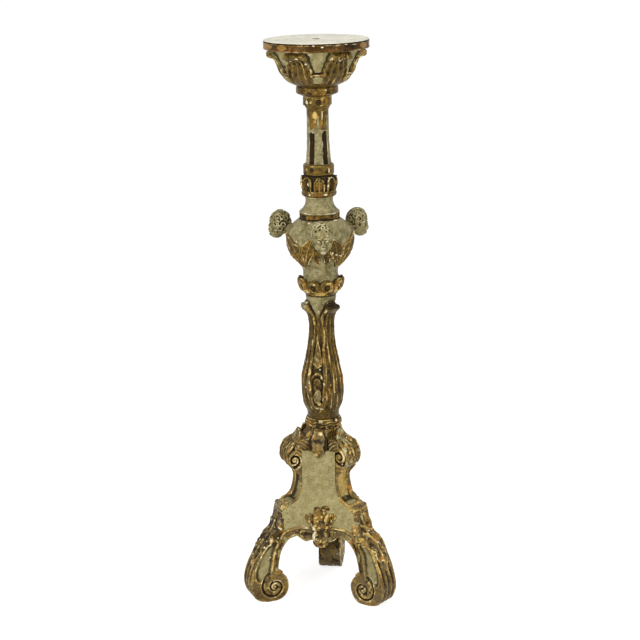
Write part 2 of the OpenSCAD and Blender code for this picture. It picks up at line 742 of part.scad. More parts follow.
module panel(n) {
    half = concat(curve([for (q = arch_low) q + [0, 3]], 3), [[leg_reach, arch_low[6][1]], [leg_reach, panel_top]]);
    color(paint) rotate([0, 0, panel_angles[n]]) intersection() {
        layer(-panel_t, 0);
        seen_from_front(concat(half, mirrored(half)));
    }
}

apron_t = 7;

module apron(n) {
    low = curve(arch_low, 3);
    high = curve(arch_high, 3);
    color(gilt) rotate([0, 0, panel_angles[n]]) intersection() {
        layer(0, apron_t);
        seen_from_front(concat(mirrored(low), low, backwards(high), backwards(mirrored(high))));
    }
}

// Small blocks glued in the corners behind the panels, each against the side of a leg
block_l = 34;
block_w = 16;

module glue_blocks() {
    color(bare) for (a = panel_angles) rotate([0, 0, a]) intersection() {
        layer(-panel_t - block_w, -panel_t);
        for (side = [0, 1])
            mirror([side, 0, 0]) rotate([0, 0, -30])
                translate([0, -leg_w / 2 - block_w, up(200) - block_l / 2]) cube([leg_reach, block_w, block_l]);
    }
}

// ---- Hanging leaves on the neck of the base ----

hang_points = [for (q = [[0, 349], [9, 358], [15, 366], [14, 376], [10, 385], [12, 398], [18, 408], [18, 413]]) drawn(q)];
// Face of the leaf as [distance in front of the panel, height]
hang_front = [[2, 349], [5.6, 360], [6.6, 372], [3.6, 385], [-2.4, 399], [-6.4, 413]];

module hanging_leaf(n) {
    half = curve(hang_points, 3);
    deep = corner(drawn([62, 0])[0]) + seat;
    front = curve([for (q = hang_front) [deep + q[0], up(q[1])]], 2);
    low = front[0][1];
    high = front[len(front) - 1][1];
    wall = concat([for (q = front) [-q[0], q[1]]],
        [[-drum_r - seat, high], [-drum_r - seat, panel_top + seat], [-deep, panel_top + seat], [-deep, low]]);
    color(gilt) rotate([0, 0, panel_angles[n]]) intersection() {
        rotate([90, 0, 90]) linear_extrude(big, center = true) polygon(wall);
        seen_from_front(concat(half, mirrored(half)));
    }
}

// ---- Shells in the middle of the aprons ----

// Each row: height, half width, thickness
shell_rows = [
    [139, 5, 6], [143, 10, 10], [150, 14, 12], [158, 12.5, 12], [168, 12, 13], [180, 13, 14], [192, 15, 14],
    [201, 21, 13], [208, 29, 11], [214, 30, 10], [220, 17, 11], [227, 13, 10], [234, 9, 8], [238, 4, 5]
];

function shell_loop(row) =
    let (z = up(row[0]), y0 = -face_y(z) - (row[0] < 195 ? apron_t : 0) - seat - 0.3, w = row[1], t = row[2])
    concat(
        [for (j = [0:8]) let (u = -1 + j / 4) [u * w, y0 - t * (0.3 + 0.7 * sqrt(1 - 0.9 * u * u)) - 0.9 * cos(u * 720), z]],
        [[w, y0, z], [-w, y0, z]]
    );

module shell(n) {
    color(gilt) rotate([0, 0, panel_angles[n]]) skin([for (row = shell_rows) shell_loop(row)]);
}

// ---- The stand ----

top_plate();
plate_dowels();
cup();
neck();
knop();
urn();
cherub_head(0);  // cherub_head_1
cherub_head(1);  // cherub_head_2
cherub_head(2);  // cherub_head_3
head_dowels();
wings(0);  // wings_1
wings(1);  // wings_2
wings(2);  // wings_3
leaf_collar();
baluster();
base_ring();
base_core();
leg(0);  // leg_1
leg(1);  // leg_2
leg(2);  // leg_3
leg_dowels();
leg_leaf(0);  // leg_leaf_1
leg_leaf(1);  // leg_leaf_2
leg_leaf(2);  // leg_leaf_3
shoulder_leaf(0);  // shoulder_leaf_1
shoulder_leaf(1);  // shoulder_leaf_2
shoulder_leaf(2);  // shoulder_leaf_3
panel(0);  // panel_1
panel(1);  // panel_2
panel(2);  // panel_3
glue_blocks();
hanging_leaf(0);  // hanging_leaf_1
hanging_leaf(1);  // hanging_leaf_2
hanging_leaf(2);  // hanging_leaf_3
apron(0);  // apron_1
apron(1);  // apron_2
apron(2);  // apron_3
shell(0);  // shell_1
shell(1);  // shell_2
shell(2);  // shell_3
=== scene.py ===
# %% [markdown]
# # A carved candle stand, dressed for its portrait
# The stand is a tall torchere: a round top on a leafy cup, a fluted neck, a knop of leaves, an urn with three
# winged cherub heads, a carved baluster and a base of three scrolled legs. The real one is wood under gesso, partly
# painted grey-green and partly gilded over red bole, and a long life has rubbed all of it. The exact solids give
# every block its place and size. Here each carved block is made again as a dense surface, so that its leaves,
# scrolls and wear are real geometry, and then it gets its finish.

# %% The frame
import math

import bpy
import numpy as np
from mathutils import Matrix


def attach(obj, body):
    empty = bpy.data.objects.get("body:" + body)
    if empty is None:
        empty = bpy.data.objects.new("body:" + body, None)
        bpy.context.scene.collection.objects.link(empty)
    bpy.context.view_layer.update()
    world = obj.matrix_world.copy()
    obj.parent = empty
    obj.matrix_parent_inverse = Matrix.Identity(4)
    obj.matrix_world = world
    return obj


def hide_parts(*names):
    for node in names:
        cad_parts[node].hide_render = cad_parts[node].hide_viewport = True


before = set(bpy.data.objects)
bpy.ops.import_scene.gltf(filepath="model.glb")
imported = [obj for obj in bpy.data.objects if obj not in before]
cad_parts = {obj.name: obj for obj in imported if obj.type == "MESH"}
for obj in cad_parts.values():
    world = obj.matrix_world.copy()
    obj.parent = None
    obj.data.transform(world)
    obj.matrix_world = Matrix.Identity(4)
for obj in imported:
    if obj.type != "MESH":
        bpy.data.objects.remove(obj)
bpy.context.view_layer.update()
MM = 0.001

# %% [markdown]
# ## The camera
# The photograph was taken by someone who stood a little to the right of the front, 3.7 m away, with the eye well
# above the top and the camera tipped down by fifteen degrees. A long lens keeps the column's sides nearly parallel.
# The camera also leaned a little, so the stand tilts to the left in the picture.

# %% The camera
CAMERA_TURN = math.radians(8.14)
CAMERA_AWAY, CAMERA_UP, CAMERA_SIDE = 3.7233, 1.669, 0.0024
CAMERA_PITCH, CAMERA_ROLL = 0.2617, 0.0193

camera = bpy.data.objects.new("camera", bpy.data.cameras.new("camera"))
bpy.context.scene.collection.objects.link(camera)
camera.data.lens = 93.2
camera.data.sensor_width = 36
camera.data.clip_end = 50
camera.matrix_world = (
    Matrix.Rotation(CAMERA_TURN, 4, "Z")
    @ Matrix.Translation((CAMERA_SIDE, -CAMERA_AWAY, CAMERA_UP))
    @ Matrix.Rotation(math.pi / 2 - CAMERA_PITCH, 4, "X")
    @ Matrix.Rotation(-CAMERA_ROLL, 4, "Z")
)
bpy.context.scene.camera = camera
print("camera at", tuple(round(c, 3) for c in camera.matrix_world.translation))

# %% [markdown]
# ## Smooth shapes from a few numbers
# A carver works from a few lines: the outline of a turning, the edge of a leaf. The helpers here draw a smooth curve
# through a few points, and give soft steps and humps that fade to nothing, which is what a gouge leaves. Every
# length below is in millimetres, and a mesh is scaled to metres once, when it is made.


# %% Curves, steps and humps
def ramp(x):
    """0 below 0, 1 above 1 and smooth between."""
    t = np.clip(x, 0, 1)
    return t * t * (3 - 2 * t)


def hump(x):
    """Height 1 at 0, fading to nothing at -1 and 1."""
    return ramp(1 - np.abs(x))


def curve(points, steps):
    """Smooth curve through the points, with that many steps between two of them."""
    p = np.asarray(points, float)
    p = np.vstack([p[0], p, p[-1]])
    out = []
    for a, b, c, d in zip(p[:-3], p[1:-2], p[2:-1], p[3:]):
        for t in np.arange(steps) / steps:
            out.append(0.5 * (2 * b + (c - a) * t + (2 * a - 5 * b + 4 * c - d) * t**2
                              + (3 * b - a - 3 * c + d) * t**3))
    out.append(p[-1])
    return np.array(out)


def spaced(points, count):
    """The same line with count points at even distances."""
    p = np.asarray(points, float)
    far = np.concatenate([[0], np.cumsum(np.linalg.norm(np.diff(p, axis=0), axis=1))])
    want = np.linspace(0, far[-1], count)
    return np.stack([np.interp(want, far, p[:, k]) for k in range(p.shape[1])], 1)


def arris(x):
    """Sharp edge of height 1 at each whole number, with a hollow between two of them, as in fluting."""
    return 1 - np.abs(np.sin(math.pi * x)) ** 0.75


def nearest_copy(angle, step):
    """Signed angle from the nearest of the copies that lie step apart."""
    m = angle / step
    return (m - np.round(m)) * step


def uneven(points, size, seed):
    """Slow swelling between -1 and 1 over a length of about size, as of work cut by hand."""
    draw = np.random.default_rng(seed)
    total = np.zeros(points.shape[:-1])
    for _ in range(7):
        way = draw.normal(size=3)
        way *= 2 * math.pi / (size * draw.uniform(0.7, 1.6) * np.linalg.norm(way))
        total += np.sin(points @ way + draw.uniform(0, 6.28))
    return total / 4


print("a hump is", float(hump(np.array(0.5))), "high half-way out")

# %% [markdown]
# ## From points to a mesh
# Turned and carved blocks are made as a sheet of points that runs round the axis in columns and up the block in
# rows. Writing the arrays straight into the mesh is far quicker than adding faces one by one. Each point also gets
# marks, such as how much gilding lies there, and the materials read them by name.


# %% Mesh makers
def volume_of(points, faces):
    """Signed volume inside the faces, which is negative where they look inwards."""
    total, middle = 0.0, points.mean(0)
    for f in faces:
        a = points[f[:, 0]] - middle
        for k in range(1, f.shape[1] - 1):
            b, c = points[f[:, k]] - middle, points[f[:, k + 1]] - middle
            total += (a * np.cross(b, c)).sum() / 6
    return total


def write_mesh(name, points, faces, marks=None):
    """Object from points in millimetres and a list of face arrays, each with one corner count."""
    if volume_of(points, faces) < -1:
        faces = [f[:, ::-1] for f in faces]
    mesh = bpy.data.meshes.new(name)
    mesh.vertices.add(len(points))
    mesh.vertices.foreach_set("co", np.ascontiguousarray(points * MM, np.float32).ravel())
    sizes = np.concatenate([np.full(len(f), f.shape[1]) for f in faces if len(f)])
    corners = np.concatenate([f.ravel() for f in faces if len(f)])
    mesh.loops.add(len(corners))
    mesh.loops.foreach_set("vertex_index", corners.astype(np.int32))
    mesh.polygons.add(len(sizes))
    mesh.polygons.foreach_set("loop_start", (np.cumsum(sizes) - sizes).astype(np.int32))
    mesh.update(calc_edges=True)
    mesh.validate()
    mesh.shade_smooth()
    for mark, values in (marks or {}).items():
        put_mark(mesh, mark, values)
    thing = bpy.data.objects.new(name, mesh)
    bpy.context.scene.collection.objects.link(thing)
    return thing


def put_mark(mesh, mark, values):
    layer = mesh.attributes.get(mark) or mesh.attributes.new(mark, "FLOAT", "POINT")
    layer.data.foreach_set("value", np.ascontiguousarray(values, np.float32).ravel())


print("mesh writer ready")


# %% Sheets of points
def sheet_faces(rows, columns, closed=False):
    """Quads of a sheet that wraps round in its columns, and in its rows too if it is closed."""
    r = np.arange(rows if closed else rows - 1)[:, None]
    c = np.arange(columns)[None, :]
    up, on = (r + 1) % rows, (c + 1) % columns
    quads = np.stack([r * columns + c, r * columns + on, up * columns + on, up * columns + c], -1)
    return quads.reshape(-1, 4)


def sheet_mesh(name, sheet, marks, closed=False):
    """Closed object from a sheet of points: its end rows are filled unless the rows close on themselves."""
    rows, columns = sheet.shape[:2]
    points = sheet.reshape(-1, 3)
    faces = [sheet_faces(rows, columns, closed)]
    marks = {k: np.broadcast_to(v, (rows, columns)).ravel() for k, v in marks.items()}
    if not closed:
        low, high = sheet[0].mean(0), sheet[-1].mean(0)
        c = np.arange(columns)
        on = (c + 1) % columns
        last = (rows - 1) * columns
        faces.append(np.stack([on, c, np.full(columns, len(points))], 1))
        faces.append(np.stack([last + c, last + on, np.full(columns, len(points) + 1)], 1))
        points = np.vstack([points, low, high])
        marks = {k: np.append(v, [v[:columns].mean(), v[-columns:].mean()]) for k, v in marks.items()}
    return write_mesh(name, points, faces, marks)


print("mesh makers ready")

# %% [markdown]
# ## Clay: lumps and ropes that melt together
# Legs, heads and shells aren't round the axis. They are built as a modeller builds in clay: balls, ropes and slabs
# are laid over each other, then a voxel remesh melts them into one skin. A little smoothing rounds the joins, and
# what is left looks cut from one block. The smoothing moves each point towards the mean of its neighbours.


# %% Balls, ropes and slabs
def ball(centre, radii):
    """Ellipsoid as a sheet of twelve rows, whose poles are closed with the sheet's ends."""
    lat = np.linspace(-math.pi / 2 * 0.98, math.pi / 2 * 0.98, 12)[:, None]
    lon = np.linspace(0, 2 * math.pi, 18, endpoint=False)[None, :]
    sheet = np.stack([np.cos(lat) * np.cos(lon), np.cos(lat) * np.sin(lon), np.sin(lat) + 0 * lon], -1)
    return sheet * np.asarray(radii, float) + np.asarray(centre, float)


def rope(path, widths, heights=None, out=None, sides=12):
    """Tapering rope along a path of points; out is the direction that its height is measured in."""
    p = np.asarray(path, float)
    at = np.linspace(0, 1, len(p))
    widths = np.interp(at, np.linspace(0, 1, len(widths)), widths)
    heights = widths if heights is None else np.interp(at, np.linspace(0, 1, len(heights)), heights)
    along = np.gradient(p, axis=0)
    along /= np.linalg.norm(along, axis=1)[:, None] + 1e-9
    guess = np.broadcast_to(np.array([0, 0, 1.0]) if out is None else np.asarray(out, float), p.shape)
    if out is None:
        steep = np.abs(along[:, 2:]) > 0.9
        guess = np.where(steep, np.array([0, 1.0, 0]), guess)
    side = np.cross(along, guess)
    side /= np.linalg.norm(side, axis=1)[:, None] + 1e-9
    up = np.cross(side, along)
    turn = np.linspace(0, 2 * math.pi, sides, endpoint=False)[None, :, None]
    ring = side[:, None] * np.cos(turn) * widths[:, None, None] + up[:, None] * np.sin(turn) * heights[:, None, None]
    return p[:, None] + ring


def slab(outline, half):
    """Flat plate: outline in the XZ plane, counted anticlockwise, and half its thickness along Y."""
    o = np.asarray(outline, float)
    return np.array([np.stack([o[:, 0], np.full(len(o), y), o[:, 1]], 1) for y in (-half, half)])


print("a ball is a sheet of", ball((0, 0, 0), (1, 1, 1)).shape[:2], "points")


# %% Read and smooth a skin
def skin(thing):
    """Points in millimetres, edges and normals of an object's mesh."""
    mesh = thing.data
    points = np.empty(len(mesh.vertices) * 3, np.float32)
    mesh.vertices.foreach_get("co", points)
    edges = np.empty(len(mesh.edges) * 2, np.int32)
    mesh.edges.foreach_get("vertices", edges)
    normals = np.empty(len(mesh.vertices) * 3, np.float32)
    mesh.vertex_normals.foreach_get("vector", normals)
    return points.reshape(-1, 3).astype(float) / MM, edges.reshape(-1, 2), normals.reshape(-1, 3).astype(float)


def relaxed(points, edges, passes):
    """Points moved half-way to the mean of their neighbours, a few times."""
    count = len(points)
    joined = np.maximum(np.bincount(edges.ravel(), minlength=count), 1)[:, None]
    p = points.copy()
    for _ in range(passes):
        total = np.stack([
            np.bincount(edges[:, 0], p[edges[:, 1], k], count) + np.bincount(edges[:, 1], p[edges[:, 0], k], count)
            for k in range(3)
        ], 1)
        p += 0.5 * (total / joined - p)
    return p


def move_points(thing, points):
    thing.data.vertices.foreach_set("co", np.ascontiguousarray(points * MM, np.float32).ravel())
    thing.data.update()


print("smoothing ready")


# %% Melt lumps into one skin
def clay(name, lumps, voxel, smooth):
    """One skin from many lumps, each a sheet of points whose ends are filled; smooth is the number of passes."""
    points, faces, at = [], [], 0
    for sheet in lumps:
        rows, columns = sheet.shape[:2]
        quads = sheet_faces(rows, columns) + at
        c = np.arange(columns)
        on = (c + 1) % columns
        points.append(sheet.reshape(-1, 3))
        if rows == 2:
            ends = [np.flip(c)[None, :] + at, (columns + c)[None, :] + at]
            at += 2 * columns
            faces += [quads] + ends
            continue
        points.append(np.array([sheet[0].mean(0), sheet[-1].mean(0)]))
        low, high = at + rows * columns, at + rows * columns + 1
        last = at + (rows - 1) * columns
        faces += [quads, np.stack([at + on, at + c, np.full(columns, low)], 1),
                  np.stack([last + c, last + on, np.full(columns, high)], 1)]
        at += rows * columns + 2
    rough = write_mesh(name + "_lumps", np.vstack(points), faces)
    melt = rough.modifiers.new("melt", "REMESH")
    melt.mode = "VOXEL"
    melt.voxel_size = voxel * MM
    melt.adaptivity = 0
    ready = rough.evaluated_get(bpy.context.evaluated_depsgraph_get())
    mesh = bpy.data.meshes.new_from_object(ready)
    mesh.name = name
    mesh.shade_smooth()
    thing = bpy.data.objects.new(name, mesh)
    bpy.context.scene.collection.objects.link(thing)
    bpy.data.objects.remove(rough)
    rough_points, edges, _ = skin(thing)
    move_points(thing, relaxed(rough_points, edges, smooth))
    return thing


print("clay ready")


# %% Distances in a plane
def inside(x, y, outline):
    """True where the points lie inside the outline."""
    o = np.asarray(outline, float)
    hit = np.zeros(np.shape(x), bool)
    for (ax, ay), (bx, by) in zip(o, np.roll(o, -1, 0)):
        if ay != by:
            crosses = (ay > y) != (by > y)
            hit ^= crosses & (x < (bx - ax) * (y - ay) / (by - ay) + ax)
    return hit


def distance_to(x, y, line):
    """Distance from the points to a line."""
    line = np.asarray(line, float)
    best = np.full(np.shape(x), 1e9)
    for a, b in zip(line[:-1], line[1:]):
        way = b - a
        length = np.hypot(*way) + 1e-9
        t = np.clip(((x - a[0]) * way[0] + (y - a[1]) * way[1]) / length**2, 0, 1)
        best = np.minimum(best, np.hypot(x - a[0] - t * way[0], y - a[1] - t * way[1]))
    return best


print("distances ready")

# %% [markdown]
# ## Ridges and hollows
# Wear follows form: hands and dusters rub the ridges down to gold, bole or gesso, and dirt stays in the hollows. So
# each carved piece is measured against a smoothed copy of itself. Where the real surface stands above the smooth one
# there is a ridge, and where it lies below there is a hollow. The result is stored as two marks.


# %% Marks for wear
RIDGE_PASSES, HOLLOW_PASSES = 6, 50


def mark_wear(thing):
    points, edges, normals = skin(thing)
    near = relaxed(points, edges, RIDGE_PASSES)
    far = relaxed(near, edges, HOLLOW_PASSES)
    put_mark(thing.data, "ridge", ((points - near) * normals).sum(1))
    put_mark(thing.data, "hollow", ((far - points) * normals).sum(1))


print("wear marks ready")

# %% [markdown]
# ## Studio
# The stand is shown in a white studio. Two soft lamps stand left and right of the camera, a third hangs over the top,
# and the pale room fills the shadows. The floor is a pale disc. Rays that come straight from the camera, and those
# that a shiny surface sends on, see white, so the background is white without any more light on the object. The floor
# keeps the shadow.

# %% Node helper
class Nodes:
    """Short calls that add a node to a tree and join its inputs."""

    def __init__(self, tree):
        self.tree = tree

    def add(self, kind, inputs=None, **settings):
        node = self.tree.nodes.new(kind)
        for key, value in settings.items():
            setattr(node, key, value)
        for key, value in (inputs or {}).items():
            if isinstance(value, bpy.types.NodeSocket):
                self.tree.links.new(value, node.inputs[key])
            else:
                node.inputs[key].default_value = value
        return node

    def math(self, what, a, b, clamp=False):
        return self.add("ShaderNodeMath", {0: a, 1: b}, operation=what, use_clamp=clamp).outputs[0]

    def times(self, a, b):
        return self.math("MULTIPLY", a, b)

    def plus(self, a, b):
        return self.math("ADD", a, b)

    def scaled(self, value, gain, least):
        """The value times gain, plus least."""
        return self.plus(self.times(value, gain), least)

    def most(self, a, b):
        return self.math("MAXIMUM", a, b)

    def step(self, value, low, high):
        """0 below low, 1 above high and smooth between."""
        return self.add("ShaderNodeMapRange", {"Value": value, "From Min": low, "From Max": high},
                        interpolation_type="SMOOTHSTEP").outputs[0]

    def mix(self, share, a, b):
        return self.add("ShaderNodeMix", {0: share, 6: a, 7: b}, data_type="RGBA").outputs[2]

    def layered(self, ground, layers):
        """Ground colour under layers, each given as the share of it that covers what lies below, and its colour."""
        for share, over in layers:
            ground = self.mix(share, ground, over)
        return ground

    def place(self):
        return self.add("ShaderNodeTexCoord").outputs["Object"]

    def noise(self, scale, detail, rough=0.55):
        return self.add("ShaderNodeTexNoise", {"Vector": self.place(), "Scale": scale, "Detail": detail,
                                               "Roughness": rough}).outputs[0]

    def mark(self, name):
        return self.add("ShaderNodeAttribute", attribute_name=name).outputs["Fac"]

    def group(self, tree, **inputs):
        return self.add("ShaderNodeGroup", {k.replace("_", " "): v for k, v in inputs.items()}, node_tree=tree).outputs


print("node helper ready")


# %% Colours and new materials
def colour(red, green, blue):
    """Linear colour from the usual 0 to 255 numbers."""
    linear = [c / 255 / 12.92 if c <= 10.3 else ((c / 255 + 0.055) / 1.055) ** 2.4 for c in (red, green, blue)]
    return (*linear, 1)


def new_material(name):
    material = bpy.data.materials.new(name)
    material.use_nodes = True
    material.node_tree.nodes.clear()
    return material, Nodes(material.node_tree)


print("linear value of middle grey:", round(colour(128, 128, 128)[0], 3))


# %% Room and floor
def seen_directly(n):
    """1 for rays that show the background: from the camera, from a gloss or through glass."""
    path = n.add("ShaderNodeLightPath").outputs
    return n.most(n.most(path["Is Camera Ray"], path["Is Glossy Ray"]), path["Is Transmission Ray"])


world = bpy.data.worlds.new("studio")
bpy.context.scene.world = world
world.use_nodes = True
world.node_tree.nodes.clear()
n = Nodes(world.node_tree)
fill = n.add("ShaderNodeBackground", {"Color": (1.0, 0.985, 0.96, 1), "Strength": 0.44}).outputs[0]
white = n.add("ShaderNodeBackground", {"Color": (1, 1, 1, 1), "Strength": 1.0}).outputs[0]
either = n.add("ShaderNodeMixShader", {0: seen_directly(n), 1: fill, 2: white}).outputs[0]
n.add("ShaderNodeOutputWorld", {"Surface": either})

floor_material, n = new_material("pale_floor")
card = n.add("ShaderNodeBsdfDiffuse", {"Color": (0.55, 0.55, 0.54, 1)}).outputs[0]
glow = n.add("ShaderNodeEmission", {"Color": (1, 1, 1, 1), "Strength": 0.80}).outputs[0]
shown = n.add("ShaderNodeAddShader", {0: card, 1: glow}).outputs[0]
bounce = n.add("ShaderNodeBsdfDiffuse", {"Color": (0.78, 0.775, 0.76, 1)}).outputs[0]
either = n.add("ShaderNodeMixShader", {0: seen_directly(n), 1: bounce, 2: shown}).outputs[0]
n.add("ShaderNodeOutputMaterial", {"Surface": either})

FLOOR_RADIUS, FLOOR_Z = 30000, -0.2
rim = np.radians(np.arange(0, 360, 4))
floor_points = np.stack([FLOOR_RADIUS * np.cos(rim), FLOOR_RADIUS * np.sin(rim), 0 * rim + FLOOR_Z], 1)
floor = write_mesh("floor", floor_points, [np.arange(len(rim))[None, :]])
floor.data.materials.append(floor_material)
print("floor radius:", FLOOR_RADIUS * MM, "m")


# %% Lamps
def softbox(name, place, aim, size, power):
    lamp = bpy.data.lights.new(name, "AREA")
    lamp.shape = "DISK"
    lamp.size = size
    lamp.energy = power
    lamp.color = (1.0, 0.985, 0.955)
    thing = bpy.data.objects.new(name, lamp)
    bpy.context.scene.collection.objects.link(thing)
    way = Matrix.Translation(aim).translation - Matrix.Translation(place).translation
    thing.matrix_world = Matrix.Translation(place) @ way.to_track_quat("-Z", "Y").to_matrix().to_4x4()


softbox("lamp_left", (-1.7, -3.0, 1.8), (0, 0, 0.65), 1.1, 60)
softbox("lamp_right", (2.6, -2.4, 1.6), (0, 0, 0.65), 0.9, 40)
softbox("lamp_top", (0.3, -0.6, 3.4), (0, 0, 1.0), 1.4, 22)
bpy.context.scene.view_settings.view_transform = "Standard"
print("studio ready")

# %% [markdown]
# ## Old finishes
# Paint and gilding on wood lie on white gesso, and the gold on red-brown bole too. Wear cuts through these layers, so
# each material is a stack of colours, and masks say which layer shows. Three effects are shared by all finishes, and
# each is a node group: where a surface is rubbed or dirty, how colour clouds over it, and how its skin is crazed.


# %% Effect groups
def new_group(name, inputs, outputs):
    group = bpy.data.node_groups.new(name, "ShaderNodeTree")
    for label, kind, value in inputs:
        group.interface.new_socket(label, in_out="INPUT", socket_type=kind).default_value = value
    for label, kind in outputs:
        group.interface.new_socket(label, in_out="OUTPUT", socket_type=kind)
    return group, Nodes(group), group.nodes.new("NodeGroupInput").outputs, group.nodes.new("NodeGroupOutput").inputs


FLOAT = "NodeSocketFloat"

RUB_AND_DIRT, n, given, result = new_group(
    "rub_and_dirt",
    [("Ridge", FLOAT, 0.0), ("Hollow", FLOAT, 0.0), ("Rub Level", FLOAT, 0.14), ("Dirt Level", FLOAT, 0.6)],
    [("Rubbed", FLOAT), ("Dirt", FLOAT)],
)
patchy = n.math("SUBTRACT", n.noise(55, 4, 0.6), 0.5)
grainy = n.math("SUBTRACT", n.noise(420, 3, 0.6), 0.5)
lift = n.plus(n.times(patchy, 4.0), n.times(grainy, 1.2))
raised = n.plus(given["Ridge"], n.times(lift, given["Rub Level"]))
rubbed = n.step(raised, n.times(given["Rub Level"], 0.7), n.times(given["Rub Level"], 1.4))
sunk = n.plus(given["Hollow"], n.times(n.times(lift, 0.35), given["Dirt Level"]))
dirty = n.step(sunk, n.times(given["Dirt Level"], 0.4), n.times(given["Dirt Level"], 1.8))
n.tree.links.new(rubbed, result["Rubbed"])
n.tree.links.new(dirty, result["Dirt"])

CLOUDS, n, given, result = new_group(
    "clouds",
    [("Scale", FLOAT, 30.0), ("Low", FLOAT, 0.4), ("High", FLOAT, 0.6)],
    [("Cloud", FLOAT)],
)
n.tree.links.new(n.step(n.noise(given["Scale"], 5, 0.62), given["Low"], given["High"]), result["Cloud"])

OLD_SKIN, n, given, result = new_group(
    "old_skin",
    [("Craze Scale", FLOAT, 140.0), ("Craze", FLOAT, 0.5), ("Grain", FLOAT, 0.5)],
    [("Height", FLOAT), ("Crack", FLOAT)],
)
cells = n.add("ShaderNodeTexVoronoi", {"Vector": n.place(), "Scale": given["Craze Scale"]},
              feature="DISTANCE_TO_EDGE").outputs[0]
crack = n.times(n.math("SUBTRACT", 1.0, n.step(cells, 0.0, 0.05)), n.step(n.noise(24, 3), 0.5, 0.62))
grain = n.plus(n.times(n.noise(260, 4, 0.6), 0.7), n.noise(60, 4, 0.6))
height = n.math("SUBTRACT", n.times(grain, given["Grain"]), n.times(crack, given["Craze"]))
n.tree.links.new(height, result["Height"])
n.tree.links.new(crack, result["Crack"])
print("groups:", [g.name for g in bpy.data.node_groups])

# %% [markdown]
# ## One finish for painted and gilded wood
# Most pieces carry both finishes, and the edge between them is cut by hand and chipped. So one function makes a
# material with both stacks. The mark "gilt" says where the gold lies, and noise frays its edge. The other marks are
# set one by one on each piece: "bole" where the gold is rubbed to its warm ground, "bright" where it is burnished,
# and also where painted light lifts a shaded part, "chip" where white gesso shows, and "dark" where the wood is bare
# or burnt brown, and also for painted shade in holes, gaps, clefts and grooves.


# %% Finish maker
def painted_and_gilded(name, paint, gold, rub, dirt):
    """Material with a paint stack and a gold stack, which are dictionaries of layer colours.

    rub and dirt are in millimetres: how high a ridge stands that is worn, and how deep a hollow is that holds dirt.
    """
    material, n = new_material(name)
    worn = n.group(RUB_AND_DIRT, Ridge=n.mark("ridge"), Hollow=n.mark("hollow"), Rub_Level=rub, Dirt_Level=dirt)
    fine, small, mottled, wide, slow, strokes, rust = [
        n.group(CLOUDS, Scale=scale, Low=low, High=high)["Cloud"]
        for scale, low, high in [(420.0, 0.40, 0.60), (150.0, 0.42, 0.58), (72.0, 0.43, 0.57), (38.0, 0.40, 0.60),
                                 (12.0, 0.40, 0.60), (44.0, 0.51, 0.58), (21.0, 0.49, 0.60)]
    ]
    skin_of = n.group(OLD_SKIN, Craze_Scale=110.0, Craze=0.4, Grain=0.6)
    fray = n.math("SUBTRACT", n.noise(100, 7, 0.82), 0.5)

    def frayed_mark(mark, frayed=2.2, low=0.44, high=0.56):
        return n.step(n.plus(n.mark(mark), n.times(fray, frayed)), low, high)

    # Chips and bole also show here and there by chance, above these levels of a noise
    chip_from, bole_from = paint["chips"], gold["bole_from"]
    gilt = frayed_mark("gilt", 0.9, 0.46, 0.54)
    chip = n.most(frayed_mark("chip", 3.4, 0.56, 0.66), n.step(n.noise(95, 4, 0.65), chip_from, chip_from + 0.02))
    dark = frayed_mark("dark")
    bright = frayed_mark("bright", 2.6)
    bole = n.most(frayed_mark("bole"), n.step(n.noise(27, 5, 0.65), bole_from, bole_from + 0.05))

    coat = n.layered(paint["low"], [
        (wide, paint["mid"]),
        (n.times(slow, 0.55), paint["stain"]),
        (n.times(mottled, 0.55), paint["high"]),
        (n.times(small, 0.38), paint["stain"]),
        (n.times(fine, 0.35), paint["low"]),
        (n.times(n.step(n.noise(330, 2, 0.5), 0.63, 0.67), 0.75), paint["speck"]),
        (n.times(skin_of["Crack"], 0.2), paint["dirt"]),
        (n.times(worn["Dirt"], 0.95), paint["dirt"]),
        (n.times(worn["Rubbed"], n.scaled(strokes, 0.6, 0.15)), paint["worn"]),
    ])

    shown_bole = n.times(bole, n.scaled(mottled, 0.6, 0.3))
    streaks = n.times(worn["Rubbed"], n.scaled(strokes, 0.55, 0.2))
    burnish_and_painted_light = n.times(bright, n.scaled(small, 0.35, 0.6))
    # Gleam is a painted highlight on the ridges, laid in the gesso colour, and partly gesso rubbed bare
    gleam = n.times(n.step(n.plus(n.mark("ridge"), n.times(fray, 2.4)), 0.50, 0.62), strokes)
    leaf = n.layered(gold["umber"], [
        (wide, gold["mid"]),
        (n.times(slow, gold["dusty"]), gold["green"]),
        (n.times(mottled, 0.4 * gold["dusty"]), gold["green"]),
        (n.times(small, n.scaled(rust, 0.7, 0.2)), gold["ochre"]),
        (n.times(fine, 0.42), gold["umber"]),
        (shown_bole, n.mix(small, gold["bole"], gold["bole_light"])),
        (n.times(worn["Dirt"], 0.95), gold["dirt"]),
        # The rubbed colour also carries the painted light that the bright mark lays
        (n.most(streaks, burnish_and_painted_light), gold["rubbed"]),
        (n.times(gleam, n.scaled(small, 0.6, 0.25)), paint["gesso"]),
    ])
    # The dark mark lays the dirt colour, which here also stands for painted shade
    both = n.layered(coat, [(gilt, leaf), (n.times(dark, 0.85), gold["dirt"]), (chip, paint["gesso"])])

    bare = n.most(n.most(chip, dark), n.times(worn["Dirt"], 0.8))
    shine = n.math("SUBTRACT", 0.42, n.times(n.most(shown_bole, burnish_and_painted_light), 0.38))
    metal = n.times(n.times(gilt, n.math("SUBTRACT", 1.0, bare)), shine)
    rough = n.math("ADD", n.scaled(n.noise(120, 3), 0.3, 0.24), n.times(bare, 0.3), clamp=True)
    bumped = n.add("ShaderNodeBump", {"Height": skin_of["Height"], "Strength": 0.9, "Distance": 0.0009}).outputs[0]
    surface = n.add("ShaderNodeBsdfPrincipled", {"Base Color": both, "Metallic": metal, "Roughness": rough,
                                                 "Normal": bumped, "Specular IOR Level": 0.14}).outputs[0]
    n.add("ShaderNodeOutputMaterial", {"Surface": surface})
    return material


print("finish maker ready")


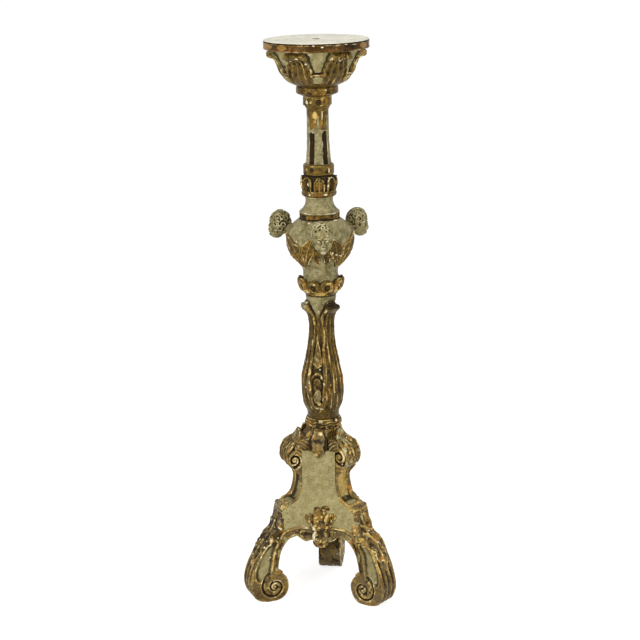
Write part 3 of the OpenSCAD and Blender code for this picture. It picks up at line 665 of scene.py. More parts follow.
# %% Palettes and finishes
def palette(base=(), **layers):
    """Another palette with new colours for some layers; a plain number stays as it is."""
    return dict(base, **{layer: colour(*v) if isinstance(v, tuple) else v for layer, v in layers.items()})


GOLD = palette(
    umber=(60, 44, 15), mid=(101, 78, 30), green=(84, 71, 28), ochre=(146, 113, 46), bole=(126, 78, 26),
    bole_light=(172, 122, 48), bole_from=0.68, dirt=(27, 18, 7), dusty=0.5, rubbed=(212, 182, 106))
DEEP_GOLD = palette(GOLD, umber=(52, 39, 14), mid=(92, 71, 28), green=(79, 68, 34), ochre=(138, 106, 44))
WARM_GOLD = palette(
    GOLD, umber=(66, 50, 23), mid=(108, 85, 38), green=(102, 91, 66), ochre=(164, 127, 54), bole=(146, 94, 34),
    bole_light=(192, 142, 62), bole_from=0.63, dirt=(36, 25, 10), dusty=0.85)
RIM_GOLD = palette(
    GOLD, umber=(44, 27, 7), mid=(72, 48, 13), green=(60, 44, 14), ochre=(102, 73, 26), bole=(88, 53, 15),
    bole_light=(120, 79, 27), bole_from=0.64, rubbed=(160, 122, 60))
GREY_GREEN = palette(
    low=(148, 138, 93), mid=(168, 158, 111), high=(196, 187, 144), stain=(130, 120, 77), speck=(82, 72, 40),
    dirt=(60, 50, 26), worn=(214, 206, 168), gesso=(230, 220, 184), chips=0.72)
# The column's green is darker than the others partly as painted shade, and the heads' green is built on it
SHADED_DULL_GREEN = palette(GREY_GREEN, low=(116, 107, 68), mid=(158, 147, 104), high=(194, 184, 140), stain=(92, 83, 48))
HEAD_GREEN = palette(SHADED_DULL_GREEN, low=(114, 104, 62), mid=(154, 142, 94), high=(194, 183, 132))
PANEL_GREEN = palette(GREY_GREEN, low=(146, 136, 90), mid=(163, 153, 106), high=(184, 175, 131), stain=(134, 124, 80))
CREAM = palette(
    low=(220, 216, 196), mid=(240, 238, 222), high=(249, 247, 236), stain=(196, 190, 166), speck=(150, 140, 108),
    dirt=(60, 46, 26), worn=(250, 249, 240), gesso=(238, 230, 204), chips=0.73)
COLUMN_FINISH = painted_and_gilded("grey_green_and_old_gold", SHADED_DULL_GREEN, GOLD, 0.20, 0.7)
# The cup's paint is the lighter grey-green, as painted light on fields that lie in the plate's shade
CUP_FINISH = painted_and_gilded("green_with_painted_light_and_old_gold", GREY_GREEN, GOLD, 0.17, 0.6)
BALUSTER_FINISH = painted_and_gilded("grey_green_and_deep_gold", SHADED_DULL_GREEN, DEEP_GOLD, 0.22, 0.7)
HEAD_FINISH = painted_and_gilded("grey_green_on_carving", HEAD_GREEN, GOLD, 0.09, 0.36)
BASE_FINISH = painted_and_gilded("grey_green_and_warm_gold", PANEL_GREEN, WARM_GOLD, 0.21, 0.7)
TOP_FINISH = painted_and_gilded("cream_and_old_gold", CREAM, RIM_GOLD, 0.17, 0.8)
print("materials:", COLUMN_FINISH.name, BASE_FINISH.name, TOP_FINISH.name)

# %% [markdown]
# ## Placing a piece
# A dressed piece takes the place of the exact solids that it stands for: they stay for collisions, and this surface
# is what shows. Each piece rides on the one body.


# %% Helpers for pieces
COLUMN_X = 6.0
FACING = 278.14
# Height of the lower face of each block of the column
RING_FOOT, BALUSTER_FOOT, COLLAR_FOOT, URN_FOOT, KNOP_FOOT, NECK_FOOT, CUP_FOOT = 416, 440, 737, 768, 966, 1017, 1193
PIECES = {}


def settle(thing, nodes, material):
    """Measure the wear, give the finish and stand for the nodes."""
    mark_wear(thing)
    thing.data.materials.clear()
    thing.data.materials.append(material)
    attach(thing, "root")
    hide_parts(*nodes)
    PIECES[thing.name] = len(thing.data.vertices)


def turned(outline, pitch, columns):
    """Radius, height and angle in degrees of a turned skin, as three arrays of rows by columns."""
    length = np.linalg.norm(np.diff(np.asarray(outline, float), axis=0), axis=1).sum()
    line = spaced(outline, int(length / pitch) + 2)
    angle = np.linspace(0, 360, columns, endpoint=False)[None, :]
    return line[:, :1] + 0 * angle, line[:, 1:] + 0 * angle, angle + 0 * line[:, :1]


def on_column(radius, height, angle):
    turn = np.radians(angle)
    return np.stack([COLUMN_X + radius * np.cos(turn), radius * np.sin(turn), height], -1)


def cut(radius, height, angle, size, seed):
    """Unevenness of a surface round the column, cut by hand in strokes of about size."""
    return uneven(on_column(radius, height, angle), size, seed)


def all_round(columns, rows):
    """Angle in degrees of each point of a sheet."""
    return np.linspace(0, 360, columns, endpoint=False)[None, :] + np.zeros((rows, 1))


print("the column stands off centre by", COLUMN_X, "mm")


# %% Sides and patches
def facing(angle):
    """Angle in degrees from the side that faces the camera, positive to the right."""
    return nearest_copy(angle - FACING, 360)


def blob(u, v, at_u, at_v, half_u, half_v):
    """Soft patch that is 1 in its middle and 0 outside its oval."""
    return np.clip(1.35 * (1.15 - np.hypot((u - at_u) / half_u, (v - at_v) / half_v)), 0, 1)


def patches(u, v, places):
    """Largest of several blobs, each given as two places and two half sizes."""
    total = np.zeros(np.broadcast(u, v).shape)
    for place in places:
        total = np.maximum(total, blob(u, v, *place))
    return total


print("camera side is at", FACING, "degrees")

# %% [markdown]
# ## Top plate
# The round top is a board with cream paint, scuffed by candlesticks, and a gilded hoop round its edge. The hoop has
# shrunk and cracked across, and has come away from the board in a gap that gets painted shade, as the bore does. A
# ring of points is turned round the axis, from the bore outwards over the top, down the edge and back below, so the
# bore is a real hole.

# %% Top plate
PLATE_LOOP = [
    (7.5, 1301), (7.5, 1319), (8.3, 1320), (60, 1320), (117.6, 1320), (118.7, 1319.7), (119, 1319.2), (118.4, 1318.6),
    (115.2, 1318.4), (115.2, 1316.6), (118.4, 1316.4), (119, 1315.8), (119, 1301.4), (118.4, 1300.4), (117.2, 1300),
    (60, 1300), (8.3, 1300),
]
R, Z, A = turned(PLATE_LOOP, 1.6, 600)
front = facing(A)
on_rim = (R > 117) & (Z < 1318.4) & (Z > 1300.5)
cracks = [-77, -53.4, -43, -27.8, -14, -3, 7, 20.3, 33, 49.4, 71, 96, 118, 139, 163, -168, -141, -121, -98]
split = np.max([hump((front - c - 0.5 * np.sin(Z * 0.7 + c)) / 0.55) for c in cracks], axis=0) * on_rim
swell = cut(R, Z, A, 45, 11)
R = R - on_rim * (0.25 + 0.25 * swell) - 0.7 * split
chip_places = [(-3, 1315.5, 1.2, 2), (6.5, 1312, 2.2, 2.2), (84, 1309, 8, 9), (33, 1316.5, 3, 1.5), (44, 1314, 4, 1.6),
               (-88, 1306, 4, 5), (140, 1312, 5, 5), (-150, 1305, 6, 4)]
dark_places = [(35, 1312, 6, 5), (42, 1309, 3, 6), (33, 1303, 4, 3), (150, 1308, 9, 6), (-120, 1309, 5, 6)]
bole_places = [(-35, 1305, 30, 7), (-72, 1309, 12, 7), (15, 1306, 9, 5), (62, 1310, 12, 8), (110, 1308, 22, 8),
               (-110, 1308, 20, 7), (180, 1309, 26, 8)]
plate = sheet_mesh("plate_board", on_column(R, Z, A), closed=True, marks={
    "gilt": np.maximum((R > 114) & (Z < 1318.7), R < 8),
    "chip": patches(front, Z, chip_places) * on_rim,
    # Painted shade in the gap under the hoop's top edge and in the bore
    "dark": np.max([patches(front, Z, dark_places) * on_rim, 0.9 * ((R > 114) & (Z > 1316.2) & (Z < 1318.9)),
                    1.0 * (R < 8.2), 0.7 * split], axis=0),
    "bole": patches(front, Z, bole_places) * on_rim * 0.75,
    "bright": patches(front, Z, [(-70, 1309, 24, 9), (-40, 1310, 8, 9), (62, 1309, 10, 8)]) * on_rim * 0.8,
})
settle(plate, ["top_plate"], TOP_FINISH)
print("plate points:", PIECES["plate_board"])

# %% [markdown]
# ## Cup
# Six big leaves rise round the cup and curl out under the plate. Between them lie sunken painted fields, and a husk
# with a painted button sits below each field. The skin is one sheet: every point is either on the leaf line or on the
# field line, and the lobed edge between them is a soft step one millimetre wide.

# %% Cup
CUP_FIELD = [(33, 0), (36.5, 3), (46, 7), (47.5, 10), (47.3, 20), (45.5, 24), (49, 27.5), (59, 33.5), (67, 41),
             (71.5, 49), (75, 57), (79, 66), (83, 76), (86.5, 85), (89.5, 92), (92, 96.5), (94, 100), (95.5, 103),
             (96.3, 105), (97, 107)]
CUP_LEAF = [(33, 0), (36.5, 3), (46, 7), (47.5, 10), (47.3, 20), (45.5, 24), (52, 26.5), (63, 33), (72, 40.5),
            (78, 48.5), (83, 56), (86, 64.5), (89.5, 73.5), (93, 82), (100, 87.5), (108.5, 90.5), (112.5, 96),
            (109, 101.5), (102, 104.5), (97, 107)]
field_line, leaf_line = curve(CUP_FIELD, 9), curve(CUP_LEAF, 9)
A = all_round(620, len(field_line))
from_field = nearest_copy(A - 39.6, 60)
from_leaf = nearest_copy(A - 9.6, 60)
Z = field_line[:, 1][:, None] + 0 * A
half = np.interp(Z, [57, 69, 77, 87, 103], [8.5, 10, 12, 14.5, 17])
lobes = 1.7 * np.abs(np.sin(math.pi * (Z - 58) / 14.5)) ** 0.7 - 0.8
lobes = lobes + 0.5 * cut(60 + 0 * A, Z, A, 18, 3)
tip = np.interp(Z, [88, 94, 100, 104], [30, 21, 13.5, 13.0])
edge = np.minimum(np.abs(from_field) - (half - lobes), tip - np.abs(from_leaf) + 1.0)
husk = hump(from_field / 11.5) ** 0.6 * ramp((58.5 - Z) / 3) * ramp((Z - 28) / 8)
leaf_share = np.where(Z < 57, 1, ramp(edge / 0.9 + 0.5))
leaf_share = np.where(Z > 105, 0, leaf_share)
R = field_line[:, :1] * (1 - leaf_share) + leaf_line[:, :1] * leaf_share
Z = field_line[:, 1:] * (1 - leaf_share) + leaf_line[:, 1:] * leaf_share
print("rows and columns of the cup:", R.shape)

# %% Cup: veins, husks and buttons
rise = np.clip((Z - 26) / 74, 0, 1)
across = np.clip(np.abs(from_leaf) / (30 - half + lobes + 0.1), 0, 1)
fingers = np.cos(2 * math.pi * (5.2 * (rise - 0.30 * across**1.2)))
sway = cut(60 + 0 * A, Z, A, 45, 4)
vein = arris(from_leaf / (30 - half + lobes) * (1.9 + 0.5 * rise) + 0.12 * sway) * 2.2
on_leaf = leaf_share * ramp((Z - 27) / 6) * ramp((105 - Z) / 6) * (1 - husk)
relief = on_leaf * (0.7 * fingers * ramp(across * 1.6) * ramp((Z - 50) / 10) + vein * ramp((100 - Z) / 10))
relief += on_leaf * (0.8 * hump(edge / 1.6 - 0.7) + 1.2 * hump((np.abs(from_leaf) - 1.5) / 1.4) * ramp((Z - 80) / 10))
button = np.clip(1 - np.hypot(from_field / 11.0, (Z - 42.5) / 8.2) ** 2, 0, 1) ** 0.5
groove = hump((Z - 57.5 - 0.035 * from_field**2) / 2.4) * hump(from_field / 13)
foot = ramp((26 - Z) / 3)
scallop = foot * (0.9 * np.abs(np.sin(np.radians(4 * (A + 7)))) - 0.8 + 0.5 * cut(R, Z, A, 14, 5))
R = R + relief + 5.0 * husk - 2.2 * hump((button - 0.06) / 0.12) * husk + 2.4 * button * husk - 4.5 * groove + scallop
R = R + 0.35 * cut(R, Z, A, 12, 8) * ramp((Z - 26) / 6)
R = np.minimum(R, 112.5)
print("widest place of the cup:", round(float(R.max()), 1), "mm")

# %% Cup: finish
front = facing(A)
field_here = (1 - leaf_share) * ramp((Z - 56) / 3)
cup = sheet_mesh("carved_cup", on_column(R, Z + CUP_FOOT, A), marks={
    "gilt": np.clip(1 - field_here - (button > 0.12) * husk, 0, 1),
    # Painted shade in the groove at the foot of each field
    "dark": np.max([groove * 1.2,
                    patches(front, Z, [(48, 90, 5, 6), (-62, 70, 6, 5), (-20, 10, 9, 3), (32, 12, 9, 4),
                                       (4, 3, 14, 2)]),
                    on_leaf * ramp((0.9 - vein) / 0.7) * np.clip(0.25 + 0.5 * cut(R, Z, A, 24, 6), 0, 1)], axis=0),
    "bright": on_leaf * np.clip(0.5 * vein - 0.8 + 0.8 * cut(R, Z, A, 20, 7), 0, 1),
    "bole": patches(front, Z, [
        (10, 56, 5.5, 5), (-5, 14, 6, 3), (16, 7, 6, 2.4), (84, 97, 12, 7), (-34, 12, 6, 3), (70, 56, 9, 9),
        (130, 60, 9, 9), (-120, 50, 8, 9), (180, 15, 10, 8)]),
    "chip": patches(front, Z, [
        (-9, 52, 2.2, 2.2), (-23, 93, 4, 2.5), (-36, 86, 2.5, 2), (-15, 80, 2, 3), (52, 68, 3, 3), (31, 88, 2, 4),
        (24, 18, 2.5, 3), (-9, 101, 5, 1.5), (150, 90, 4, 3), (-140, 80, 4, 3)]),
})
settle(cup, ["cup"], CUP_FINISH)
print("cup points:", PIECES["carved_cup"])

# %% [markdown]
# ## Neck
# The neck is turned, and five round-ended flutes are cut in its shaft. Its mouldings and the band above the flutes
# are gilded. The flutes are cut into the turned skin as half-round channels.

# %% Neck
NECK_LINE = [(24, 0), (34.0, 0.3), (35.3, 1.5), (35.3, 20), (34, 22.3), (30, 23.6), (28.7, 29), (27.4, 40), (26.8, 52),
             (25.8, 66), (25.2, 85), (24.9, 105), (24.8, 144), (25.6, 149), (28.4, 152.5), (28.8, 155), (32.2, 156.2),
             (32.8, 158), (32.8, 173), (32, 175.7), (24, 176)]
R, Z, A = turned(NECK_LINE, 1.1, 260)
front = facing(A)
from_flute = np.radians(nearest_copy(A - 243.6, 72)) * R
above = np.maximum(Z - 90 - 3 * hump((front - 40) / 30), 0)
flute = np.clip(1 - np.hypot(from_flute, above) ** 2 / 7.4**2, 0, 1) ** 0.5 * ramp((Z - 23.6) / 1.2) * (R < 31)
stick = hump((from_flute - 0.6) / 1.5) * ramp((Z - 64) / 8) * flute
facets = (0.8 * np.abs(np.cos(np.radians(4 * (A - 20)))) - 0.8) * ramp((Z - 154) / 3)
R = R - 5.2 * flute + 1.6 * stick + facets + 0.3 * cut(R, Z, A, 22, 21)
R = R - 0.8 * hump((Z - 173.5 - 1.2 * np.sin(np.radians(8 * A))) / 1.6)
gold_from = 103 + 28 * hump((front - 2) / 16) - 8 * hump((front - 35) / 16) + 30 * ramp((np.abs(front) - 42) / 12)
gold_from = gold_from + 5 * cut(R, 0 * Z, A, 10, 22)
neck = sheet_mesh("fluted_neck", on_column(R, Z + NECK_FOOT, A), marks={
    "gilt": np.maximum(np.maximum(Z < 23.8, Z > gold_from), flute > 0.3),
    # Painted shade inside the flutes
    "dark": np.maximum(ramp((flute - 0.08) / 0.2) * 0.95,
                       patches(front, Z, [(4, 165, 17, 9), (-62, 3, 18, 4), (-26, 13, 11, 8), (30, 8, 9, 6)])),
    "bright": patches(front, Z, [(-14, 130, 22, 18), (20, 122, 9, 14), (-28, 165, 6, 6), (-50, 13, 8, 6)]) * 0.55,
    "bole": patches(front, Z, [
        (-6, 8, 18, 3), (-14, 140, 6, 5), (38, 168, 9, 4), (60, 12, 16, 8), (130, 12, 40, 9), (-120, 140, 30, 20),
        (150, 150, 30, 14)]) * 0.9,
    "chip": patches(front, Z, [
        (24, 136, 4, 13), (-48, 165, 11, 7), (41, 10, 4, 8), (28, 70, 2.5, 9), (26, 48, 2.5, 6), (-32, 96, 6, 2.6),
        (-70, 30, 5, 3), (120, 100, 6, 9), (-150, 60, 5, 8)]),
})
settle(neck, ["neck"], COLUMN_FINISH)
print("neck points:", PIECES["fluted_neck"])

# %% [markdown]
# ## Knop
# Eight upright tongues stand round the knop, with clefts between them that get painted shade. Each one is a rim
# round a hollow, as a carver cuts a husk: the outline first, then the middle is scooped out. The scooped middles get
# painted shade too, except on the tongue that faces the camera.

# %% Knop
KNOP_CLEFT = [(30, 0), (36, 2), (37, 5), (37.4, 9), (36.0, 14), (35.2, 20), (36.4, 28), (36.8, 35), (36.4, 42),
              (34.5, 48), (30, 51)]
KNOP_TONGUE = [(30, 0), (36.6, 1.2), (38.6, 4), (39.2, 8), (38.6, 13), (40, 18), (42.6, 26), (43.3, 33), (42, 40),
               (38.6, 47), (30, 51)]
cleft, tongue = curve(KNOP_CLEFT, 7), curve(KNOP_TONGUE, 7)
A = all_round(330, len(cleft))
across = np.radians(nearest_copy(A - 279, 45)) * 40
Z = tongue[:, 1:] + 0 * A
wide = 13.2 * np.sqrt(np.clip(1 - (np.maximum(Z - 30, 0) / 16.5) ** 2, 0, 1)) * ramp((Z + 12) / 26)
wide = wide + 1.6 * cut(40 + 0 * A, Z, A, 13, 31)
inward = wide - np.abs(across)
tongue_share = np.where(Z < 13.5, 1, ramp(inward / 1.4 + 0.5))
R = cleft[:, :1] * (1 - tongue_share) + tongue[:, :1] * tongue_share
body = ramp((Z - 13) / 3) * ramp((49 - Z) / 3) * tongue_share
R = R + body * (0.5 * hump((inward - 2.0) / 2.2) - 2.8 * ramp((inward - 3.0) / 2.5) + 2.6 * hump(across / 2.6))
lip = hump((Z - 6 - 2.0 * np.cos(np.radians(8 * (A - 279)))) / 4.5)
R = R + 1.1 * lip + 0.45 * cut(R, Z, A, 9, 32)
R = np.minimum(R, 43.3)
front = facing(A)
knop = sheet_mesh("leaf_knop", on_column(R, Z + KNOP_FOOT, A), marks={
    "gilt": 1.0,
    # Painted shade in the clefts, and in the scooped middles of the tongues that do not face the camera
    "dark": np.clip((1 - tongue_share) * 1.2 * ramp((Z - 13) / 3)
                    + 0.8 * np.clip(cut(R, Z, A, 7, 33), 0, 0.8) * ramp((Z - 13) / 3)
                    + 0.95 * body * ramp((inward - 2.6) / 2) * hump(across / 10 - 0.15) * (np.abs(front) > 14), 0, 1),
    "bole": patches(front, Z, [(1, 22, 7, 15), (3, 6, 12, 6), (-45, 28, 6, 9), (90, 26, 18, 18), (-130, 25, 18, 16)]),
    "chip": patches(front, Z, [
        (-38, 31, 4, 6), (-34, 8, 4, 4), (22, 8, 8, 2), (38, 44, 4, 3), (30, 28, 2, 6), (140, 30, 5, 6)]),
})
settle(knop, ["knop"], COLUMN_FINISH)
print("knop points:", PIECES["leaf_knop"])

# %% [markdown]
# ## Urn
# The urn is one turning from its stem to its hollow neck: a painted stem, a full belly, a gilded ring and a cove. Only
# a little unevenness keeps it from looking made by a machine.

# %% Urn
URN_LINE = [(24, 0), (40.4, 0.3), (40.6, 14), (40.8, 26), (44.5, 34), (50, 41), (55.7, 48), (62.5, 61), (69.5, 78),
            (73.2, 94), (73.8, 106), (72.5, 116), (67, 128), (58, 138.5), (47, 147), (45.8, 148.6), (46.8, 151),
            (46.8, 160), (47.6, 162), (46.2, 163.6), (40.5, 168.5), (35.5, 175), (32.6, 182), (31.6, 189),
            (32.6, 195), (33.6, 197.6), (24, 198)]
BELLY, RING, COVE = slice(2, 15), slice(15, 20), slice(20, 26)
URN_SMOOTH = np.vstack([
    URN_LINE[:2], curve(URN_LINE[BELLY], 6), URN_LINE[RING], curve(URN_LINE[COVE], 5), URN_LINE[26:],
])
R, Z, A = turned(URN_SMOOTH, 1.3, 380)
front = facing(A)
wobble = cut(R, Z, A, 30, 41)
R = R + 0.35 * (wobble - 1)
ring = (Z > 148.6) & (Z < 161.5)
R = R - ring * (0.5 + 0.5 * cut(R, Z, A, 11, 42))
drips = 4.5 * hump((front + 30) / 5) + 3 * hump((front + 18) / 3) + 2.5 * hump((front - 55) / 5)
urn = sheet_mesh("turned_urn", on_column(R, Z + URN_FOOT, A), marks={
    "gilt": (Z > 147.4 - drips) & (Z < 161.2),
    "dark": patches(front, Z, [
        (-52, 154, 14, 8), (14, 151, 18, 3.4), (38, 156, 6, 4), (-20, 147.8, 12, 1.6), (120, 153, 20, 4),
        (-140, 152, 25, 4)]),
    "bright": patches(front, Z, [
        (-34, 156, 16, 3.4), (2, 157, 10, 2), (36, 153, 7, 3), (62, 156, 10, 5), (140, 155, 40, 4)]) * 0.4,
    "bole": patches(front, Z, [
        (-24, 154, 8, 4), (-4, 153, 7, 3), (60, 155, 9, 5), (-30, 146, 6, 3), (160, 156, 30, 5)]),
    "chip": patches(front, Z, [
        (-28, 143, 4, 2.2), (-44, 163, 12, 1.2), (50, 146, 12, 1.5), (46, 161.5, 10, 1.6), (-47, 101, 1.6, 5),
        (100, 90, 3, 4), (-160, 70, 3, 5)]),
})
settle(urn, ["urn"], COLUMN_FINISH)
URN_SIDE = URN_SMOOTH[1:-1]


def urn_radius(height):
    return np.interp(height, URN_SIDE[:, 1], URN_SIDE[:, 0])


print("urn points:", PIECES["turned_urn"])

# %% [markdown]
# ## Wings
# A pair of wings spreads from each head, and the tips of two neighbours' wings meet low on the belly. They are thin
# carvings laid on the urn. Each pair is a closed strip: where the wing is, the strip stands above the belly, and
# beyond its outline it dips below, so the outline you see is where the two surfaces cross. The feathers are ridges
# that spread from the tip like the ribs of a fan.


# %% Strips laid on a surface
def laid_strip(name, base, normal, height, under, marks):
    """Closed strip on a surface: height above it outside, and the depth under it inside."""
    outer = base + normal * height[..., None]
    inner = (base - normal * (under + 0 * height)[..., None])[:, ::-1]
    marks = {k: np.concatenate([v + 0 * height, (v + 0 * height)[:, ::-1]], 1) for k, v in marks.items()}
    return sheet_mesh(name, np.concatenate([outer, inner], 1), marks)


print("strip maker ready")

# %% Wings
WING_SHARE = [0, 0.10, 0.15, 0.24, 0.31, 0.36, 0.40, 0.46, 0.55, 0.66, 0.78, 0.88, 0.94, 0.975, 1.0]
WING_LOW = [59, 55, 52, 46, 45.5, 54, 60, 66, 64, 57, 49, 42.5, 39.5, 40, 47]
WING_HIGH = [104, 106, 108, 111, 113, 114, 114.5, 114, 111, 106, 101, 96, 93, 91.5, 90]
# Front, right and left head, and how far each wing reaches to either side, in degrees
HEAD_ANGLES = [281, 41, 161]
WING_SPANS = [(38.5, 40.5), (79.5, 60), (60, 81.5)]
WING_FOOT, WING_TOP = 36, 117
WING_RADIUS = 68
BREAST_SHARE = 0.345
for number, (head_angle, spans) in enumerate(zip(HEAD_ANGLES, WING_SPANS), 1):
    turn = np.arange(-spans[0], spans[1] + 0.01, 0.85)[None, :]
    lift = np.arange(WING_FOOT, WING_TOP, 1.0)[:, None]
    turn, lift = np.broadcast_arrays(turn, lift)
    span = np.where(turn < 0, spans[0], spans[1])
    share = np.abs(turn) / span
    radius = urn_radius(lift)
    angle = np.radians(head_angle + turn)
    place = np.stack([COLUMN_X + radius * np.cos(angle), radius * np.sin(angle), lift + URN_FOOT], -1)
    slope = np.gradient(radius[:, 0]) / np.gradient(lift[:, 0])
    normal = np.stack([np.cos(angle), np.sin(angle), -slope[:, None] + 0 * angle], -1)
    normal /= np.linalg.norm(normal, axis=-1)[..., None]
    low = np.interp(share, WING_SHARE, WING_LOW)
    high = np.interp(share, WING_SHARE, WING_HIGH)
    # Feathers spread from the wing's tip
    run = (0.99 - share) * np.radians(span) * WING_RADIUS
    climb = lift - WING_FOOT
    way = np.degrees(np.arctan2(climb, run + 1e-6))
    far = np.hypot(run, climb)
    feather = (way - 26) / 15.5 + 0.1 * uneven(place, 40, 45 + number)
    ends = 2.6 * np.abs(np.sin(math.pi * feather)) - 1.5
    room = np.minimum(high + np.where(share > 0.4, ends, 0) - lift, lift - low)
    room = np.minimum(room, (1.0 - share) * np.radians(span) * WING_RADIUS + 3.0 * (far > 50))
    rib = arris(feather)
    wing_side = ramp((share - 0.33) / 0.05)
    breast = 1 - wing_side
    # Beside the head two breast leaves take the wing's place
    leaf_way = np.abs(share * np.radians(span) * 66 - 13.5)
    leaf_room = np.minimum(8.5 * ramp((lift - 42.5) / 15) * (1 + 0.5 * ramp((lift - 62) / 12)) - leaf_way, 8)
    room = np.where(share < BREAST_SHARE, np.minimum(leaf_room + 0.5, 104 - lift), room)
    shape = ramp(room / 1.6 + 0.35)
    body = 2.4 + 3.0 * rib * ramp((far - 6) / 22) + 0.9 * ramp(1 - np.abs(room - 2.0) / 2.0)
    body = body + 1.3 * hump((way - 60) / 60)
    leaf_body = 2.2 + 1.8 * hump(leaf_way / 3.0) * 0.6 + 1.2 * hump((leaf_room - 1) / 1.6)
    body = np.where(share < BREAST_SHARE, leaf_body, body)
    body += 0.5 * uneven(place, 8, 50 + number)
    height = np.where(shape > 0.02, body * shape, 0) - 1.5 * (1 - shape)
    front = facing(head_angle + turn)
    gold_lines = ramp(1 - np.abs(room - 1.2) / 1.5) * (share > BREAST_SHARE)
    settle(laid_strip("wings_of_head_%d" % number, place, normal, np.minimum(height, 6.8), 3.0, {
        "gilt": 1.0,
        "bole": 0.7 * patches(front, lift, [
            (-75, 84, 9, 14), (-60, 62, 7, 12), (70, 55, 8, 12), (-38, 60, 6, 6), (120, 60, 12, 14),
            (-150, 70, 12, 14)]) + 0.45 * gold_lines,
        "chip": patches(front, lift, [
            (-88, 92, 7, 9), (22, 79, 2.5, 4), (31, 74, 3, 2.5), (40, 70, 4, 2), (92, 70, 3, 6), (-26, 50, 2, 3),
            (60, 84, 4, 5)]),
        "dark": np.maximum(patches(front, lift, [(16, 56, 3, 9), (-13, 55, 3, 8), (82, 95, 6, 8)]),
                           0.46 * breast + 0.22 * wing_side * (1 - gold_lines) * ramp(0.6 + uneven(place, 16, 55))),
    }), ["wings_%d" % number], COLUMN_FINISH)
print("wing points:", PIECES["wings_of_head_1"])

# %% [markdown]
# ## Cherub heads
# Three small heads look out from the urn. A child's head is nearly a ball with a small face low on it: eyes at half
# height, nose and mouth close below, full cheeks and a round chin. The face here is a plain calm one on those
# proportions. Lumps of clay are laid on a ball, curls are small rings of rope, and a voxel remesh melts them together.


# %% A head in its own frame: x to the side, y outwards, z up
CURL_PLACES = 70


def curl(middle, out, size, turns, phase, thick):
    """Small spiral of rope that lies on the head round the direction out, with a hole in its middle."""
    out = np.asarray(out, float) / np.linalg.norm(out)
    side = np.cross(out, [0, 0, 1.0])
    side /= np.linalg.norm(side) + 1e-9
    up = np.cross(side, out)
    t = np.linspace(0, 1, 22)[:, None]
    round_ = phase + t * turns * 2 * math.pi
    radius = size * (1 - 0.55 * t)
    path = np.asarray(middle) + radius * (np.cos(round_) * side + np.sin(round_) * up) + out * (t * 1.6)
    return rope(path, [thick, thick * 0.9, thick * 0.7], out=out, sides=8)


print("curl maker ready")


# %% Lumps of a head
def both_sides(centre, radii):
    """The same ball left and right of the face's middle."""
    return [ball((side * centre[0], *centre[1:]), radii) for side in (-1, 1)]


def head_lumps(seed):
    """Lumps of a head, and the middles of its curls."""
    draw = np.random.default_rng(seed)
    lumps = [
        ball((0, -1, 4), (22.5, 24, 29)),
        ball((0, 6, -8), (18.5, 19, 25)),
        ball((0, 11, -25), (8.5, 9, 8)),
        *both_sides((10, 14, -12), (9.5, 9, 9.5)),
        ball((0, 17.5, 12), (14, 7.5, 10)),
        rope([(0, 23.5, 3), (0, 26.2, -3), (0, 27.6, -7.5)], [2.0, 2.6, 3.4]),
        *both_sides((2.6, 25.2, -8), (2.3, 2.3, 2.0)),
        rope([(-13.5, 18.5, 3.5), (-8, 22.4, 6.6), (-3, 23.4, 4.6)], [1.3, 1.8, 1.4]),
        rope([(13.5, 18.5, 3.5), (8, 22.4, 6.6), (3, 23.4, 4.6)], [1.3, 1.8, 1.4]),
        *both_sides((8, 19.8, -0.4), (4.6, 3.2, 2.9)),
        rope([(-5.6, 22.2, -15.2), (-2.4, 24.2, -14.2), (0, 24.3, -14.9), (2.4, 24.2, -14.2), (5.6, 22.2, -15.2)],
             [0.7, 1.6, 1.5, 1.6, 0.7]),
        rope([(-4.4, 22.2, -16.2), (0, 23.9, -17.6), (4.4, 22.2, -16.2)], [0.7, 1.9, 0.7]),
        ball((0, 19.5, -24.5), (6.5, 5.5, 5.2)),
        *both_sides((21.0, 1, -3), (3.0, 5, 6.5)),
        rope([(0, -36, -6), (0, -14, -8), (0, -2, -8)], [14, 12.5, 14]),
    ]
    # Curls lie at even distances on the hair, which leaves out the face, the neck and the side on the urn
    golden = math.pi * (3 - math.sqrt(5))
    holes = []
    for k in range(CURL_PLACES):
        z = 1 - 2 * (k + 0.5) / CURL_PLACES
        flat = math.sqrt(1 - z * z)
        way = np.array([flat * math.cos(k * golden), flat * math.sin(k * golden), z])
        hair_line = 0.46 + 0.10 * math.cos(5 * math.atan2(way[0], way[1]))
        if way[1] > 0.16 and z < hair_line or z < -0.52 or (way[1] < -0.82 and z < 0.3):
            continue
        way = way + draw.normal(size=3) * 0.07
        way /= np.linalg.norm(way)
        middle = way * (23.0, 24.0, 28.6) * draw.uniform(0.95, 1.03) + (0, -1, 4)
        lumps.append(curl(middle, way, draw.uniform(4.6, 7.8), draw.choice([-1, 1]) * 1.35, draw.uniform(0, 6.28),
                          draw.uniform(1.7, 2.6)))
        if draw.random() < 0.45:
            holes.append(middle + way * 1.5)
    return lumps, np.array(holes)


print("places for curls:", CURL_PLACES)

